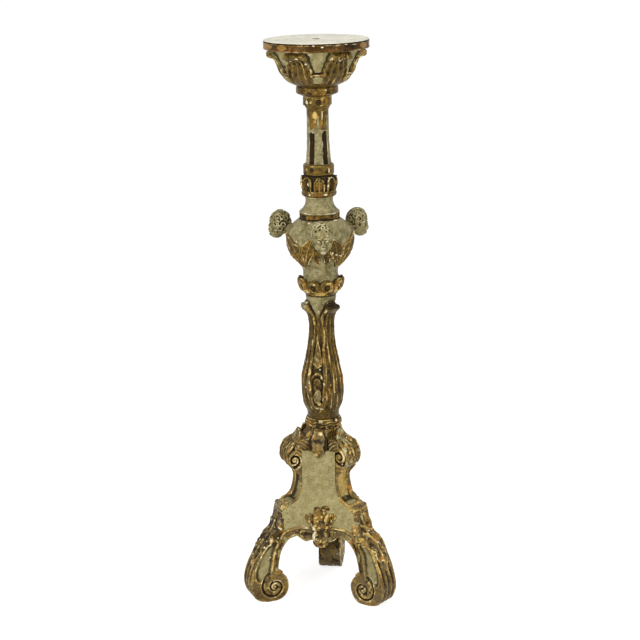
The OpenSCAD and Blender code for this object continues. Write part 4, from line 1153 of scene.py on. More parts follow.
# %% Three heads
HEAD_TILTS = [(-9, 3, 1.06), (-2, -6, 1.0), (3, 5, 1.0)]
HEAD_HEIGHT, HEAD_OUT, LEFT_HEAD = 891, 104.0, 3
for number, (head_angle, (nod, sway, tall)) in enumerate(zip(HEAD_ANGLES, HEAD_TILTS), 1):
    lumps, holes = head_lumps(60 + number)
    head = clay("cherub_head_%d_carving" % number, lumps, 0.9, 1)
    points, _, _ = skin(head)
    tilt = np.array(Matrix.Rotation(math.radians(nod), 3, "X") @ Matrix.Rotation(math.radians(sway), 3, "Y"))
    local = points @ tilt.T
    turn = math.radians(head_angle)
    out_way = np.array([math.cos(turn), math.sin(turn), 0])
    side_way = np.array([math.sin(turn), -math.cos(turn), 0])
    middle = np.array([COLUMN_X, 0, HEAD_HEIGHT - 40 * (tall - 1)]) + out_way * HEAD_OUT
    world_points = middle + local[:, :1] * side_way + local[:, 1:2] * out_way + local[:, 2:] * [0, 0, tall]
    move_points(head, world_points)
    # Painted shade lies round the eyes and in the curls' holes, and the left head is darker all over as painted shade
    to_eye = np.min([np.hypot(points[:, 0] - eye, points[:, 2] + 0.4) for eye in (-8, 8)], axis=0)
    to_hole = np.min([np.linalg.norm(points - hole, axis=1) for hole in holes], axis=0)
    round_eyes = 0.5 * ramp(1 - np.abs(to_eye - 4.6) / 1.3) * (points[:, 1] > 14)
    left_head_shade = (0.24 + 0.6 * np.clip(uneven(points, 6, 65) - 0.2, 0, 1)) * (number == LEFT_HEAD)
    put_mark(head.data, "dark", np.maximum(round_eyes, 0.85 * ramp((2.9 - to_hole) / 1.8)) + left_head_shade)
    settle(head, ["cherub_head_%d" % number], HEAD_FINISH)
print("head points:", PIECES["cherub_head_1_carving"])

# %% [markdown]
# ## Leaf collar
# Nine looped scallops turn up round the urn's stem. Each loop is a rounded rim round a deep eye. The skin is again one
# sheet round the axis, and the height of its top edge rises and falls with the loops.

# %% Leaf collar
COLLAR_ROWS = 64
A = all_round(420, COLLAR_ROWS)
V = np.linspace(0, 1, COLLAR_ROWS)[:, None] + 0 * A
share = nearest_copy(A - 256, 40) / 20
lobe = np.cos(0.5 * math.pi * np.clip(np.abs(share), 0, 1)) ** 0.62
LOW_ROWS = [(30, 0), (37, 0.6), (38.6, 3.5), (40.5, 6.5), (43.5, 9.5), (47, 14), (49.2, 19.5), (49.6, 25), (48, 29.5),
            (45, 31), (42.4, 30), (41.2, 27)]
HIGH_ROWS = [(30, 0), (37, 0.6), (38.8, 3.5), (41.5, 6.5), (46.0, 10), (50.5, 16), (53.2, 23), (54.0, 31), (52.4, 39.5),
             (48.4, 41), (44.6, 38.5), (42.0, 30)]
valley = spaced(curve(LOW_ROWS, 8), COLLAR_ROWS)
crest = spaced(curve(HIGH_ROWS, 8), COLLAR_ROWS)
R = valley[:, :1] * (1 - lobe) + crest[:, :1] * lobe
Z = valley[:, 1:] * (1 - lobe) + crest[:, 1:] * lobe
across = np.radians(nearest_copy(A - 256, 40)) * 52
from_eye = np.hypot(across, (Z - 21.5) * 0.93)
on_face = ramp((Z - 9) / 3) * (V < 0.80)
loop = 1.5 * hump((from_eye - 12.2) / 3.4) - 4.2 * ramp((9.2 - from_eye) / 3.5) + 1.8 * hump(from_eye / 4.2)
R = R + on_face * loop
R = R + 0.35 * cut(R, Z, A, 9, 71)
front = facing(A)
settle(sheet_mesh("scalloped_collar", on_column(np.minimum(R, 55.2), Z + COLLAR_FOOT, A), marks={
    "gilt": 1.0,
    # Painted shade in the middle of each deep eye
    "dark": np.clip(on_face * ramp((6.8 - from_eye) / 3.5) * 0.72, 0, 1),
    "bright": patches(front, Z, [(-2, 7, 26, 6), (46, 16, 8, 9), (-44, 12, 12, 5)]),
    "bole": patches(front, Z, [(-2, 10, 16, 7), (-40, 12, 12, 6), (22, 24, 6, 8), (44, 24, 8, 9), (150, 10, 30, 8)]),
    "chip": patches(front, Z, [(-46, 9, 4, 2), (-18, 30, 5, 1.4), (58, 24, 3, 6), (-110, 20, 5, 5)]),
}), ["leaf_collar"], COLUMN_FINISH)
print("collar points:", PIECES["scalloped_collar"])

# %% [markdown]
# ## Baluster
# Three long ribbed leaves climb the baluster and curl over at the top. Between them lie three hollow panels, each with
# a drop, a hook and a painted boss in an oval frame. As on the cup, one sheet carries it all, and the leaf edge is a
# step between the leaf line and the panel line.

# %% Baluster
BALUSTER_PANEL = [(24, 0), (35.2, 0.4), (36.5, 5), (37, 14), (39, 24), (41.5, 34), (42.5, 46), (43, 58), (43, 70),
                  (42.5, 82), (41, 94), (39, 106), (37, 118), (35, 130), (32, 144), (30, 158), (28.5, 174),
                  (27.3, 190), (26, 206), (25.4, 220), (25.4, 234), (26.4, 246), (27.6, 255), (29, 262), (30.6, 269),
                  (32, 275), (33.6, 281), (34.4, 287), (34.8, 292), (34.2, 296.6), (24, 297)]
BALUSTER_LEAF = [(24, 0), (35.2, 0.4), (37, 5), (38, 14), (41.5, 24), (45, 34), (47.5, 46), (49, 58), (50, 70),
                 (50, 82), (49.5, 94), (48, 106), (45, 118), (41.8, 130), (38.8, 144), (36, 158), (33, 174),
                 (30.8, 190), (29.4, 206), (28.8, 220), (29.6, 234), (32, 246), (36, 254), (42, 259), (47.5, 266),
                 (46.5, 273), (40, 276), (35.4, 287), (34.8, 292), (34.2, 296.6), (24, 297)]
panel_line, leaf_line = curve(BALUSTER_PANEL, 8), curve(BALUSTER_LEAF, 8)
A = all_round(300, len(panel_line))
Z = panel_line[:, 1:] + 0 * A
off = nearest_copy(A - 80, 120)
from_panel = nearest_copy(A - 20, 120)
place = on_column(40 + 0 * A, Z, A)
half = 60 * np.interp(Z, [0, 14, 24, 46, 82, 118, 158, 190, 220, 246, 256, 263, 270, 276, 281],
                      [1.0, 0.98, 0.86, 0.76, 0.68, 0.64, 0.68, 0.76, 0.86, 0.74, 0.62, 0.52, 0.42, 0.36, 0.3])
half = half + 1.6 * uneven(place, 22, 81)
inward = np.radians(half - np.abs(off)) * panel_line[:, :1]
leaf_share = np.where(Z > 283, 0, np.where(Z < 14, 1, ramp(inward / 1.6 + 0.5)))
R = panel_line[:, :1] * (1 - leaf_share) + leaf_line[:, :1] * leaf_share
Z = Z * (1 - leaf_share) + leaf_line[:, 1:] * leaf_share
on_leaf = leaf_share * ramp((Z - 20) / 12) * ramp((262 - Z) / 14)
ribs = arris(off / half * 2.45 + 0.22 * uneven(place, 90, 82))
R = R + on_leaf * (3.2 * ribs - 1.9 + 1.0 * hump((inward - 1.8) / 2.4))
print("rows and columns of the baluster:", R.shape)

# %% Baluster: the panels' ornaments
# The panel's ornaments, as distances round the panel's middle line: a drop, a boss, its frame and a hook
BOSS_HEIGHT = 56
side = np.radians(from_panel) * panel_line[:, :1]
on_panel = 1 - leaf_share
drop_wide = 11.8 * ramp((Z - 122) / 12) * np.clip((192 - Z) / 56, 0, 1) ** 0.8
drop = ramp((drop_wide - np.abs(side)) / 2.2) * ramp((Z - 119) / 5)
R = R + on_panel * (3.0 * drop + 1.0 * hump((drop_wide - np.abs(side) - 1.2) / 1.6) * (Z > 120) * (drop_wide > 1))
over_boss = Z - BOSS_HEIGHT
boss_wide = 11.5 - 0.16 * np.maximum(over_boss, 0)
boss_far = np.hypot((side - 0.12 * over_boss) / boss_wide, over_boss / np.where(over_boss > 0, 20, 16))
boss = np.clip(1 - boss_far**2, 0, 1) ** 0.5
frame_far = np.hypot(side / 21.5, (Z - 69) / 44)
oval = 3.4 * hump((frame_far - 0.97) / 0.17) * ramp((Z - 22) / 8) - 2.0 * ramp((0.88 - frame_far) / 0.1)
R = R + on_panel * (4.6 * boss + oval)
hook_far = np.abs(np.hypot(side + 1, Z - 91) - 7.5)
R = R + on_panel * 3.2 * hump(hook_far / 3.2) * ramp((Z - 86) / 4)
R = R + 0.5 * cut(R, Z, A, 12, 83) * ramp((Z - 18) / 10)
R = np.minimum(R, 50.0)
print("widest place of the baluster:", round(float(R.max()), 1), "mm")

# %% Baluster: finish
front = facing(A)
v_paint = 246 + 32 * np.abs(from_panel) / 38 + 2.5 * uneven(place, 12, 84)
painted = np.maximum((Z > np.minimum(v_paint, 279)) & (leaf_share < 0.5), Z > 279)
bud = (drop > 0.5) & (on_panel > 0.5) & (Z < 184)
inside_curl = leaf_share * ramp((Z - 266) / 3) * ramp((281 - Z) / 3)
grey = np.max([painted, 0.5 * (boss_far < 0.93) * on_panel, (0.43 + 0.12 * uneven(place, 14, 87)) * bud,
               0.75 * inside_curl * (front < 0)], axis=0)
settle(sheet_mesh("carved_baluster", on_column(R, Z + BALUSTER_FOOT, A), marks={
    "gilt": 1.0 - grey,
    # Painted shade inside the right-hand leaf curls and in a line under the collar
    "dark": np.max([inside_curl * (front > 0), 0.9 * (Z > 294.2) * (R > 30),
                    on_panel * ramp((0.84 - frame_far) / 0.2) * (boss_far > 1) * (0.42 + 0.3 * uneven(place, 15, 85)),
                    patches(front, Z, [(14, 245, 8, 10), (25, 110, 5, 40), (-5, 45, 7, 6)]),
                    0.75 * on_leaf * ramp((0.22 - ribs) / 0.2) * ramp(uneven(place, 50, 86) + 0.5)], axis=0),
    "bright": patches(front, Z, [
        (12, 200, 5.5, 34), (26, 150, 3, 60), (33, 90, 3, 40), (-24, 190, 3.5, 16), (-13, 40, 9, 5), (60, 110, 4, 50),
        (13, 62, 5, 15)]),
    "bole": patches(front, Z, [
        (7, 180, 2.5, 60), (14, 168, 3, 20), (12, 60, 6, 16), (17, 74, 4, 20), (2, 236, 8, 5), (70, 90, 8, 30),
        (58, 120, 4, 22), (-70, 100, 8, 25), (150, 90, 10, 40), (-130, 70, 9, 34), (60, 255, 9, 6)]),
    "chip": patches(front, Z, [
        (-9, 122, 3, 2.5), (-24, 112, 3, 2), (-4, 103, 2.4, 6), (3, 90, 3, 2.4), (-20, 28, 3, 2), (-5, 28, 8, 2),
        (-40, 30, 4, 3), (35, 68, 2.5, 2), (-55, 78, 3, 3), (-12, 259, 3, 2.5), (-48, 183, 4, 12), (100, 50, 4, 8),
        (-160, 120, 4, 8)]),
}), ["baluster"], BALUSTER_FINISH)
print("baluster points:", PIECES["carved_baluster"])

# %% [markdown]
# ## Ring under the baluster and block on top of the base
# A turned ring carries the baluster. Its lower edge is cut in points over hollows that get painted shade. The block
# below it shows as a row of upright petals between the shoulder leaves.

# %% Ring and block
RING_LINE = [(24, 0), (38.6, 0.4), (41, 2), (43.2, 4.6), (44, 8), (43.6, 14.5), (42.6, 18), (39.8, 21), (38.7, 23.6),
             (24, 24)]
R, Z, A = turned(curve(RING_LINE, 5), 1.2, 260)
point_at = nearest_copy(A - 260, 40) / 20
edge_at = 2 + 8.0 * np.abs(point_at) ** 1.2
hollow_here = ramp((edge_at - Z) / 1.6) * (R > 36)
R = R - 3.4 * hollow_here - 2.2 * hump((Z - 13 - 2 * np.cos(np.radians(A * 9 - 260 * 9))) / 3.4) * ramp((R - 40) / 2)
R = R + 0.4 * cut(R, Z, A, 10, 91) - 0.4
front = facing(A)
settle(sheet_mesh("turned_ring", on_column(R, Z + RING_FOOT, A), marks={
    "gilt": 1.0,
    # Painted shade in the hollows under the points
    "dark": np.max([hollow_here * 0.95, patches(front, Z, [(-8, 12, 22, 3.6), (20, 9, 12, 3)]),
                    0.55 * ramp(0.5 + cut(R, Z, A, 16, 92)) * (R > 36)], axis=0),
    "bole": patches(front, Z, [(-52, 10, 16, 12), (52, 12, 20, 10), (0, 5, 18, 3), (140, 12, 30, 8)]),
    "chip": patches(front, Z, [(-8, 20, 10, 2), (12, 3, 6, 2), (48, 20, 6, 3), (-42, 4, 6, 2)]),
}), ["base_ring"], COLUMN_FINISH)

BLOCK_LINE = [(20, 178), (24, 182), (24, 356), (30, 363), (41, 367), (43, 374), (43.5, 388), (41.5, 402), (38.6, 411),
              (36, 415.6), (24, 416)]
R, Z, A = turned(BLOCK_LINE, 1.5, 300)
petal = np.abs(np.cos(np.radians(4.5 * (A - 260)))) ** 0.55
high = ramp((Z - 366) / 4)
R = R + high * (3.2 * petal - 2.6) + high * 1.2 * hump((petal - 0.55) / 0.2)
R = np.minimum(R, 46)
front = facing(A)
turn = np.radians(A)
block = np.stack([R * np.cos(turn) + COLUMN_X * ramp((Z - 400) / 16), R * np.sin(turn), Z], -1)
settle(sheet_mesh("base_block", block, marks={
    "gilt": 1.0,
    # Painted shade in the clefts between the petals, except on the left, and behind the front hanging leaf
    "dark": high * ramp((0.42 - petal) / 0.12) * (front > -40) + patches(front, Z, [(0, 385, 14, 20)]) * 0.7,
    "bright": patches(front, Z, [(-50, 392, 16, 20), (-28, 398, 6, 12), (0, 408, 20, 8)]) * 0.8,
    "bole": patches(front, Z, [(-48, 388, 20, 26), (-26, 386, 9, 16), (60, 390, 14, 20), (150, 390, 40, 20)]),
    "chip": patches(front, Z, [(0, 404, 20, 5), (-30, 396, 3, 8), (14, 400, 6, 5)]),
}), ["base_core"], COLUMN_FINISH)
print("ring and block points:", PIECES["turned_ring"], PIECES["base_block"])

# %% [markdown]
# ## Base: the lines of a leg
# Each leg is a thick bracket, drawn in its own upright plane: a shoulder scroll on top, a hollow waist, a knee, and a
# long sweep down to the scroll of the foot. The spine is its back from shoulder to sole, and the inner line is its
# edge on the side of the arch. All three legs are carved alike, and hand work and wear make them differ.

# %% Lines of the base
LEG_ANGLES = [210, 330, 90]
LEFT_LEG, RIGHT_LEG = 1, 2
# Left, right and back leg: how much fuller the back is carved, and how dull and how sooty its leaf is
FULLER_BACKS, DULL_LEAVES, SOOTY_LEAVES = [1.5, 7.0, 0.0], [0.9, 0.05, 0.35], [0.7, 0.25, 0.45]
WAIST_LOW, WAIST_HIGH = 236, 326
SPINE = curve([(56, 395), (70, 389), (83, 380), (91, 367), (94, 353), (91, 339), (83, 328), (71, 317), (62.5, 303),
               (62, 286), (66, 266), (76, 247), (95, 237), (110, 229), (115, 213), (120, 195), (131, 172), (150, 149),
               (171, 119), (187, 90), (196, 62), (196, 38), (187, 15), (169, 2.5), (150, 0)], 4)
INNER = curve([(131, 0), (117, 5), (106, 17), (101, 36), (106, 56), (119, 70), (130, 80), (133, 104), (127, 126),
               (113, 146), (93, 161), (62, 173), (30, 178)], 4)
FOOT_EYE = (137, 36)
SHOULDER_EYES = [(79, 345), (72, 355), (74, 351)]
FACE = curve([(56.1, 368), (56.1, 303), (56.1, 286), (58.1, 266), (63.1, 247), (72.6, 237), (80.1, 229), (82.6, 213),
              (84.1, 194), (87.1, 160), (88.6, 120), (89.1, 60)], 5)[::-1]
print("points in the spine:", len(SPINE))


# %% Helpers for the base
def panel_face(height):
    """Distance from the axis to the face of a panel."""
    return np.interp(height, FACE[:, 1], FACE[:, 0])


def in_plane(path, y):
    """Points of a line in the leg's plane, moved sideways by y."""
    p = np.asarray(path, float)
    return np.stack([p[:, 0], np.full(len(p), float(y)), p[:, 1]], 1)


def between_heights(line, top, bottom):
    keep = (line[:, 1] <= top) & (line[:, 1] >= bottom)
    first = np.argmax(keep)
    return line[first:len(line) - np.argmax(keep[::-1])]


def outward(line):
    """Unit normals of a line that runs down the back of a leg."""
    way = np.gradient(np.asarray(line, float), axis=0)
    way /= np.linalg.norm(way, axis=1)[:, None]
    return np.stack([-way[:, 1], way[:, 0]], 1)


def turned_round(points, angle):
    """Points in a leg's or a panel's own frame, turned to their place round the base."""
    c, s = math.cos(math.radians(angle)), math.sin(math.radians(angle))
    return points @ np.array([[c, s, 0], [-s, c, 0], [0, 0, 1]])


def swelled(p, number):
    """Points of a leg whose back is carved fuller or leaner than the drawing, as no two legs are quite alike."""
    more = FULLER_BACKS[number - 1] * hump((p[..., 2] - 146) / 66) * ramp((p[..., 0] - 124) / 30)
    return p + more[..., None] * np.array([1.0, 0, 0.35])


print("spine length:", round(float(np.linalg.norm(np.diff(SPINE, axis=0), axis=1).sum())), "mm")

# %% [markdown]
# ## Legs
# The clay of a leg is a slab with the leg's outline, ropes along its edges and back that become beads, and a roll
# across the knee. Then the melted skin is carved: each point on the flat sides is pushed in or out by its place in
# the plane, which cuts the scrolls' spirals and the sunk field, and the waist is hollowed across its back.


# %% Scrolls
def spiral_relief(x, z, eye, start, first, pitch, boss, deep, wide):
    """Relief of a scroll: a roll that winds into a groove, with a boss in the eye, and the turns it has made inwards.

    The roll starts at the angle start, first millimetres from the eye; wide is half its share of the groove's pitch.
    """
    far = np.hypot(x - eye[0], z - eye[1]) + 1e-6
    turn = np.degrees(np.arctan2(z - eye[1], x - eye[0]))
    turns_in = np.log(first / far) * pitch / 360 - np.mod(start - turn, 360) / 360
    band = np.mod(turns_in, 1)
    roll = np.sqrt(np.clip(1 - ((band - 1 + wide) / wide) ** 2, 0, 1))
    relief = deep * (roll - 1) + 0.6 * roll
    relief = np.where(turns_in < 0, 0, relief)
    return np.where(far < boss, 2.6 * np.sqrt(np.clip(1 - (far / boss) ** 2, 0, 1)) - 1.6, relief), turns_in


print("scroll maker ready")

# %% Clay of a leg
sunk_spine = SPINE - outward(SPINE) * 3.4 * ramp((214 - SPINE[:, 1:]) / 10) * ramp((SPINE[:, 1:] + 1) / 6)
leg_outline = np.vstack([[(16.8, 178), (16.8, 366), (40, 366), (40, 396)], sunk_spine, INNER])
leg_lumps = [slab(leg_outline[::-1], 27.6)]
low_back = between_heights(SPINE, 212, -5)
waist = between_heights(SPINE, WAIST_HIGH, WAIST_LOW)
sunk_back = low_back - outward(low_back) * 5.0
for y in (-23.6, -8.0, 8.0, 23.6):
    leg_lumps.append(rope(in_plane(sunk_back, y), [5.2, 5.4, 5.4, 5.2, 4.6], out=np.insert(outward(low_back), 1, 0, 1)))
for y in (-24.0, 24.0):
    leg_lumps.append(rope(in_plane(waist - outward(waist) * 1.0, y), [4.6, 4.8, 5.0]))
    leg_lumps.append(rope(in_plane(between_heights(INNER[::-1], 172, 66) + (1.0, 1.0), y), [4.8, 4.8, 4.6]))
knee_roll = curve([(102, -27.0, 229), (107, -21, 231), (108.5, 0, 232), (107, 21, 231), (102, 27.0, 229)], 5)
leg_lumps.append(rope(knee_roll, [5.4, 7.6, 7.8, 7.6, 5.4]))
leg_lumps.append(rope([(109.5, -25.5, 221), (111, 0, 220), (109.5, 25.5, 221)], [4.8, 5.2, 4.8]))

leg_clay = clay("leg_clay", leg_lumps, 1.5, 3)
points, _, normals = skin(leg_clay)
x, y, z = points.T
on_side = ramp((np.abs(normals[:, 1]) - 0.55) / 0.3) * (np.abs(y) > 20)
spine_far = distance_to(x, z, SPINE)
on_back = ramp((7.0 - spine_far) / 3) * (1 - on_side)
print("points in the clay:", len(points))

# %% Carve the clay
foot_relief, foot_turns = spiral_relief(x, z, FOOT_EYE, 75, 41.0, 340, 4.4, 5.2, 0.43)
foot_here = (np.hypot(x - FOOT_EYE[0], z - FOOT_EYE[1]) < 42) * (foot_turns > 0)
SIDE_FIELD = curve([(146, 77), (160, 66), (171, 54), (181, 60), (183, 82), (174, 106), (158, 130), (140, 150),
                    (128, 146), (137, 124), (142, 100), (146, 77)], 3)
field_far = distance_to(x, z, SIDE_FIELD)
signed = np.where(inside(x, z, SIDE_FIELD), field_far, -field_far)
field_height = (z > 40) & (z < 150)
sink = ramp((signed + 0.6) / 2.2) * field_height
side_push = on_side * (foot_relief * foot_here - 3.6 * sink)
side_push += on_side * 1.2 * hump((signed + 3.0) / 2.4) * (z < 190)
waist_push = -5.5 * ramp((17.5 - np.abs(y)) / 4) * on_back * ramp((WAIST_HIGH - z) / 8) * ramp((z - 241) / 6)
low_push = -0.3 * on_back * (z < 200)
push = np.zeros_like(points)
push[:, 1] = np.sign(y) * side_push
push += normals * (waist_push + low_push + 0.45 * uneven(points, 16, 101))[:, None]
carved = points + push
carved[:, 2] = np.where(points[:, 2] < 1.0, np.clip(points[:, 2], 0, None) * 0.3, carved[:, 2])
carved[:, 2] = np.maximum(carved[:, 2], 0)
LEG_REACH = 196.3
carved[:, 0] = np.minimum(carved[:, 0], LEG_REACH)
print("deepest cut in a side:", round(float(-side_push.min()), 1), "mm")

# %% Where a leg is painted and worn
field_paint = on_side * ramp((signed - 0.4) / 1.0) * field_height
in_channel = on_back * ramp((17 - np.abs(y)) / 3) * ramp((WAIST_HIGH - z) / 8) * ramp((z - WAIST_LOW) / 5)
inner_far = distance_to(x, z, INNER[::3])
on_inner = ramp((7 - inner_far) / 3) * (1 - on_side)
low_groove = on_back * ramp((176 - z) / 12) * np.maximum(hump(y / 4), hump((np.abs(y) - 15.8) / 4))
low_rope = on_back * ramp((150 - z) / 12) * np.maximum(hump((y - 8) / 5), hump((y + 23.6) / 5))
leg_faces = np.empty(len(leg_clay.data.loops), np.int32)
leg_clay.data.loops.foreach_get("vertex_index", leg_faces)
leg_quads = leg_faces.reshape(-1, 4)
bpy.data.objects.remove(leg_clay)
print("faces of a leg:", len(leg_quads))

# %% Three legs
for number, (angle, eye) in enumerate(zip(LEG_ANGLES, SHOULDER_EYES), 1):
    hand = 0.35 * uneven(points + (0, 0, 700 * number), 28, 110 + number)[:, None] * normals
    scroll, scroll_turns = spiral_relief(x, z, eye, 95, 37.0, 330, 5.0, 9.0, 0.33)
    around = np.hypot(x - eye[0], z - eye[1])
    bands = 2.6 * (arris(around / 7.5) - 0.5) * ramp((z - 338) / 10)
    hand[:, 1] += np.sign(y) * on_side * np.where(scroll_turns > 0, scroll, bands)
    placed = turned_round(swelled(carved + hand * (points[:, 2:] > 3), number), angle)
    placed[:, 2] = np.maximum(placed[:, 2], 0)
    spots = uneven(points + (400 * number, 0, 0), 30, 120 + number)
    fine = uneven(points + (400 * number, 0, 0), 11, 130 + number)
    is_left, is_right = number == LEFT_LEG, number == RIGHT_LEG
    waist_paint = in_channel * (1 if is_left else ramp((256 - z) / 12))
    bole = np.clip(1.2 * (spots - 0.35 - 0.2 * is_left) + 0.4 * fine, 0, 1)
    leg = write_mesh("leg_%d_carving" % number, placed, [leg_quads], {
        "gilt": 1 - np.maximum(field_paint, 0.75 * waist_paint),
        # On the legs but the left one, the upper part of the waist channel gets painted light
        "bright": np.max([in_channel * (not is_left) * ramp((z - 248) / 12), 0.8 * on_back * hump((z - 232) / 12),
                          0.9 * low_rope * ramp(0.35 + uneven(points + (0, 0, 90 * number), 34, 125))], axis=0),
        "bole": bole * (0.5 + 0.5 * on_back) * (1 - field_paint),
        "chip": np.maximum(np.clip(2.0 * (fine - 0.9), 0, 1),
                           is_right * on_side * ramp((18 - z) / 8) * ramp(fine - 0.1)),
        # On the left leg the waist channel gets painted shade
        "dark": np.maximum(0.45 * in_channel * is_left * ramp((z - 262) / 20),
                           on_inner * np.clip(0.3 + 0.35 * spots + 0.3 * fine, 0, 1))
                + foot_here * on_side * np.clip(0.3 + 0.5 * fine, 0, 0.8) + 0.75 * low_groove * ramp(0.7 + spots)
                + is_left * (0.32 * on_side * ramp((z - 300) / 20) + 0.3 * on_back * (z < 200)),
    })
    settle(leg, ["leg_%d" % number], BASE_FINISH)
print("leg points:", PIECES["leg_1_carving"])

# %% [markdown]
# ## Leaves on the legs
# A long acanthus leaf hangs from each knee, wraps over both edges of the leg and ends in a point. A second leaf lies
# over each shoulder scroll and rises free behind it. Both are strips laid on the back of the leg: the grid's columns
# run from one side, round the corner, over the back and down the other side.


# %% Strip round the back of a leg
FLAT_HALF = 24
CORNER_RADIUS, CORNER_LENGTH = 4.5, 7


def round_back(line, c):
    """Base points and normals for a strip that wraps round the back of a leg; c is the distance across."""
    line = np.asarray(line, float)
    out = outward(line)
    a = np.abs(c)
    bend = np.clip((a - FLAT_HALF) / CORNER_LENGTH, 0, 1) * math.pi / 2
    deep = CORNER_RADIUS * (1 - np.cos(bend)) + np.maximum(a - (FLAT_HALF + CORNER_LENGTH), 0)
    y = np.sign(c) * np.where(a < FLAT_HALF, a, FLAT_HALF + CORNER_RADIUS * np.sin(bend))
    base = np.stack([line[:, :1] - out[:, :1] * deep, y + 0 * line[:, :1], line[:, 1:] - out[:, 1:] * deep], -1)
    sideways = np.sign(c) * np.sin(bend) + 0 * out[:, :1]
    normal = np.stack([out[:, :1] * np.cos(bend), sideways, out[:, 1:] * np.cos(bend)], -1)
    return base, normal


def on_base(name, base, normal, angle, height, under, marks):
    """Strip laid in a leg's or a panel's own frame, turned to its place round the base."""
    return laid_strip(name, turned_round(base, angle), turned_round(normal, angle), height, under, marks)


print("flat part of a leg's back:", 2 * FLAT_HALF, "mm")

# %% Knee leaves
KNEE_ROWS = 150
knee_line = spaced(between_heights(SPINE, 233, 84), KNEE_ROWS)
knee_line = knee_line - outward(knee_line) * 2.2
c = np.linspace(-52, 52, 96)[None, :] + np.zeros((KNEE_ROWS, 1))
base, normal = round_back(knee_line, c)
s = np.linspace(0, 1, KNEE_ROWS)[:, None] + 0 * c
a = np.abs(c)
for number, angle in enumerate(LEG_ANGLES, 1):
    slow = uneven(base + (0, 0, 500 * number), 40, 140 + number)
    lobe = np.abs(np.sin(math.pi * (s * 4.2 + 0.1 * slow))) ** 0.55
    wide = np.interp(s, [0, 0.06, 0.2, 0.42, 0.55, 0.72, 0.88, 1.0], [30, 40, 47, 44, 33, 25, 14, 2])
    room = wide - 9.5 * (1 - lobe) * ramp(a / 20) - a + 1.6 * uneven(base, 12, 150 + number)
    fingers = arris(s * 4.2 - 0.5 - 0.022 * a + 0.1 * slow)
    shape = ramp(room / 2.0 + 0.3)
    body = 2.4 + 3.2 * fingers * ramp((a - 5) / 9) + 3.0 * hump(a / 5.0) + 1.0 * hump((room - 1.8) / 2.4)
    body = body * (0.75 + 0.5 * ramp(s * 3) * ramp((1 - s) * 5)) + 0.8 * uneven(base, 9, 160 + number)
    # On the flanks what is cut away must sink below the leg's sunk field
    flank = 4.6 * ramp((a - 29) / 3)
    height = np.where(shape > 0.02, body * shape, 0) - (1.6 + flank) * (1 - shape)
    spots = uneven(base + (300 * number, 0, 0), 30, 170 + number)
    fine = uneven(base + (300 * number, 0, 0), 9, 180 + number)
    worn_gold = uneven(base + (0, 0, 333 * number), 22, 175 + number) - DULL_LEAVES[number - 1]
    soot = SOOTY_LEAVES[number - 1] + 0.8 * uneven(base + (0, 70, 200 * number), 24, 172)
    is_left, is_right = number == LEFT_LEG, number == RIGHT_LEG
    height = np.minimum(height, 8.0)
    settle(on_base("knee_leaf_%d" % number, swelled(base, number), normal, angle, height, 2.6 + flank, {
        "gilt": 1 - 0.62 * ramp((uneven(base + (90, 50 * number, 0), 17, 178) - 0.45) / 0.3),
        "bole": np.clip(1.3 * (spots - 0.2 - 0.25 * is_left) + 0.5 * fine, 0, 1),
        "bright": np.clip(1.2 * worn_gold, 0, 1),
        "chip": np.clip(2.0 * (fine - 0.74 + 0.12 * is_right) * ramp((room + 2) / 6), 0, 1),
        "dark": np.clip(0.9 - 2.2 * fingers - 1.2 * hump(a / 8), 0, 1) * ramp(room / 4) * ramp(soot)
                + 0.4 * is_left * ramp(room / 4),
    }), ["leg_leaf_%d" % number], BASE_FINISH)
print("knee leaf points:", PIECES["knee_leaf_1"])

# %% Shoulder leaves
SHOULDER = [(59.5, 419.5), (58.2, 413), (59.6, 405), (64.5, 396.5), (73.5, 388.8), (84.6, 379.6), (92.4, 365),
            (94.4, 350), (91.0, 339), (84, 331.5)]
SHOULDER_ROWS, SHOULDER_COLUMNS = 110, 76
shoulder_line = spaced(curve(SHOULDER, 6), SHOULDER_ROWS)
s = np.linspace(0, 1, SHOULDER_ROWS)[:, None] + np.zeros((1, SHOULDER_COLUMNS))
u = np.linspace(-1, 1, SHOULDER_COLUMNS)[None, :] + 0 * s
wide = np.interp(s, [0, 0.05, 0.12, 0.2, 0.3, 0.38, 0.5, 0.75, 0.92, 1.0], [0.8, 7, 13, 18.5, 25, 29.5, 31, 30, 27, 18])
wide = wide - 1.5 * np.abs(np.sin(math.pi * s * 5)) * ramp((s - 0.3) * 8)
thick = np.interp(s, [0, 0.04, 0.12, 0.22, 0.34, 0.45, 0.6], [1.0, 5, 11, 14, 13, 6, 3.0])
thick = 1.0 + (thick - 1.0) * np.sqrt(np.clip(1 - (u * np.where(s < 0.45, 1, 0)) ** 2, 0, 1))
c = u * wide
base, normal = round_back(shoulder_line, c)
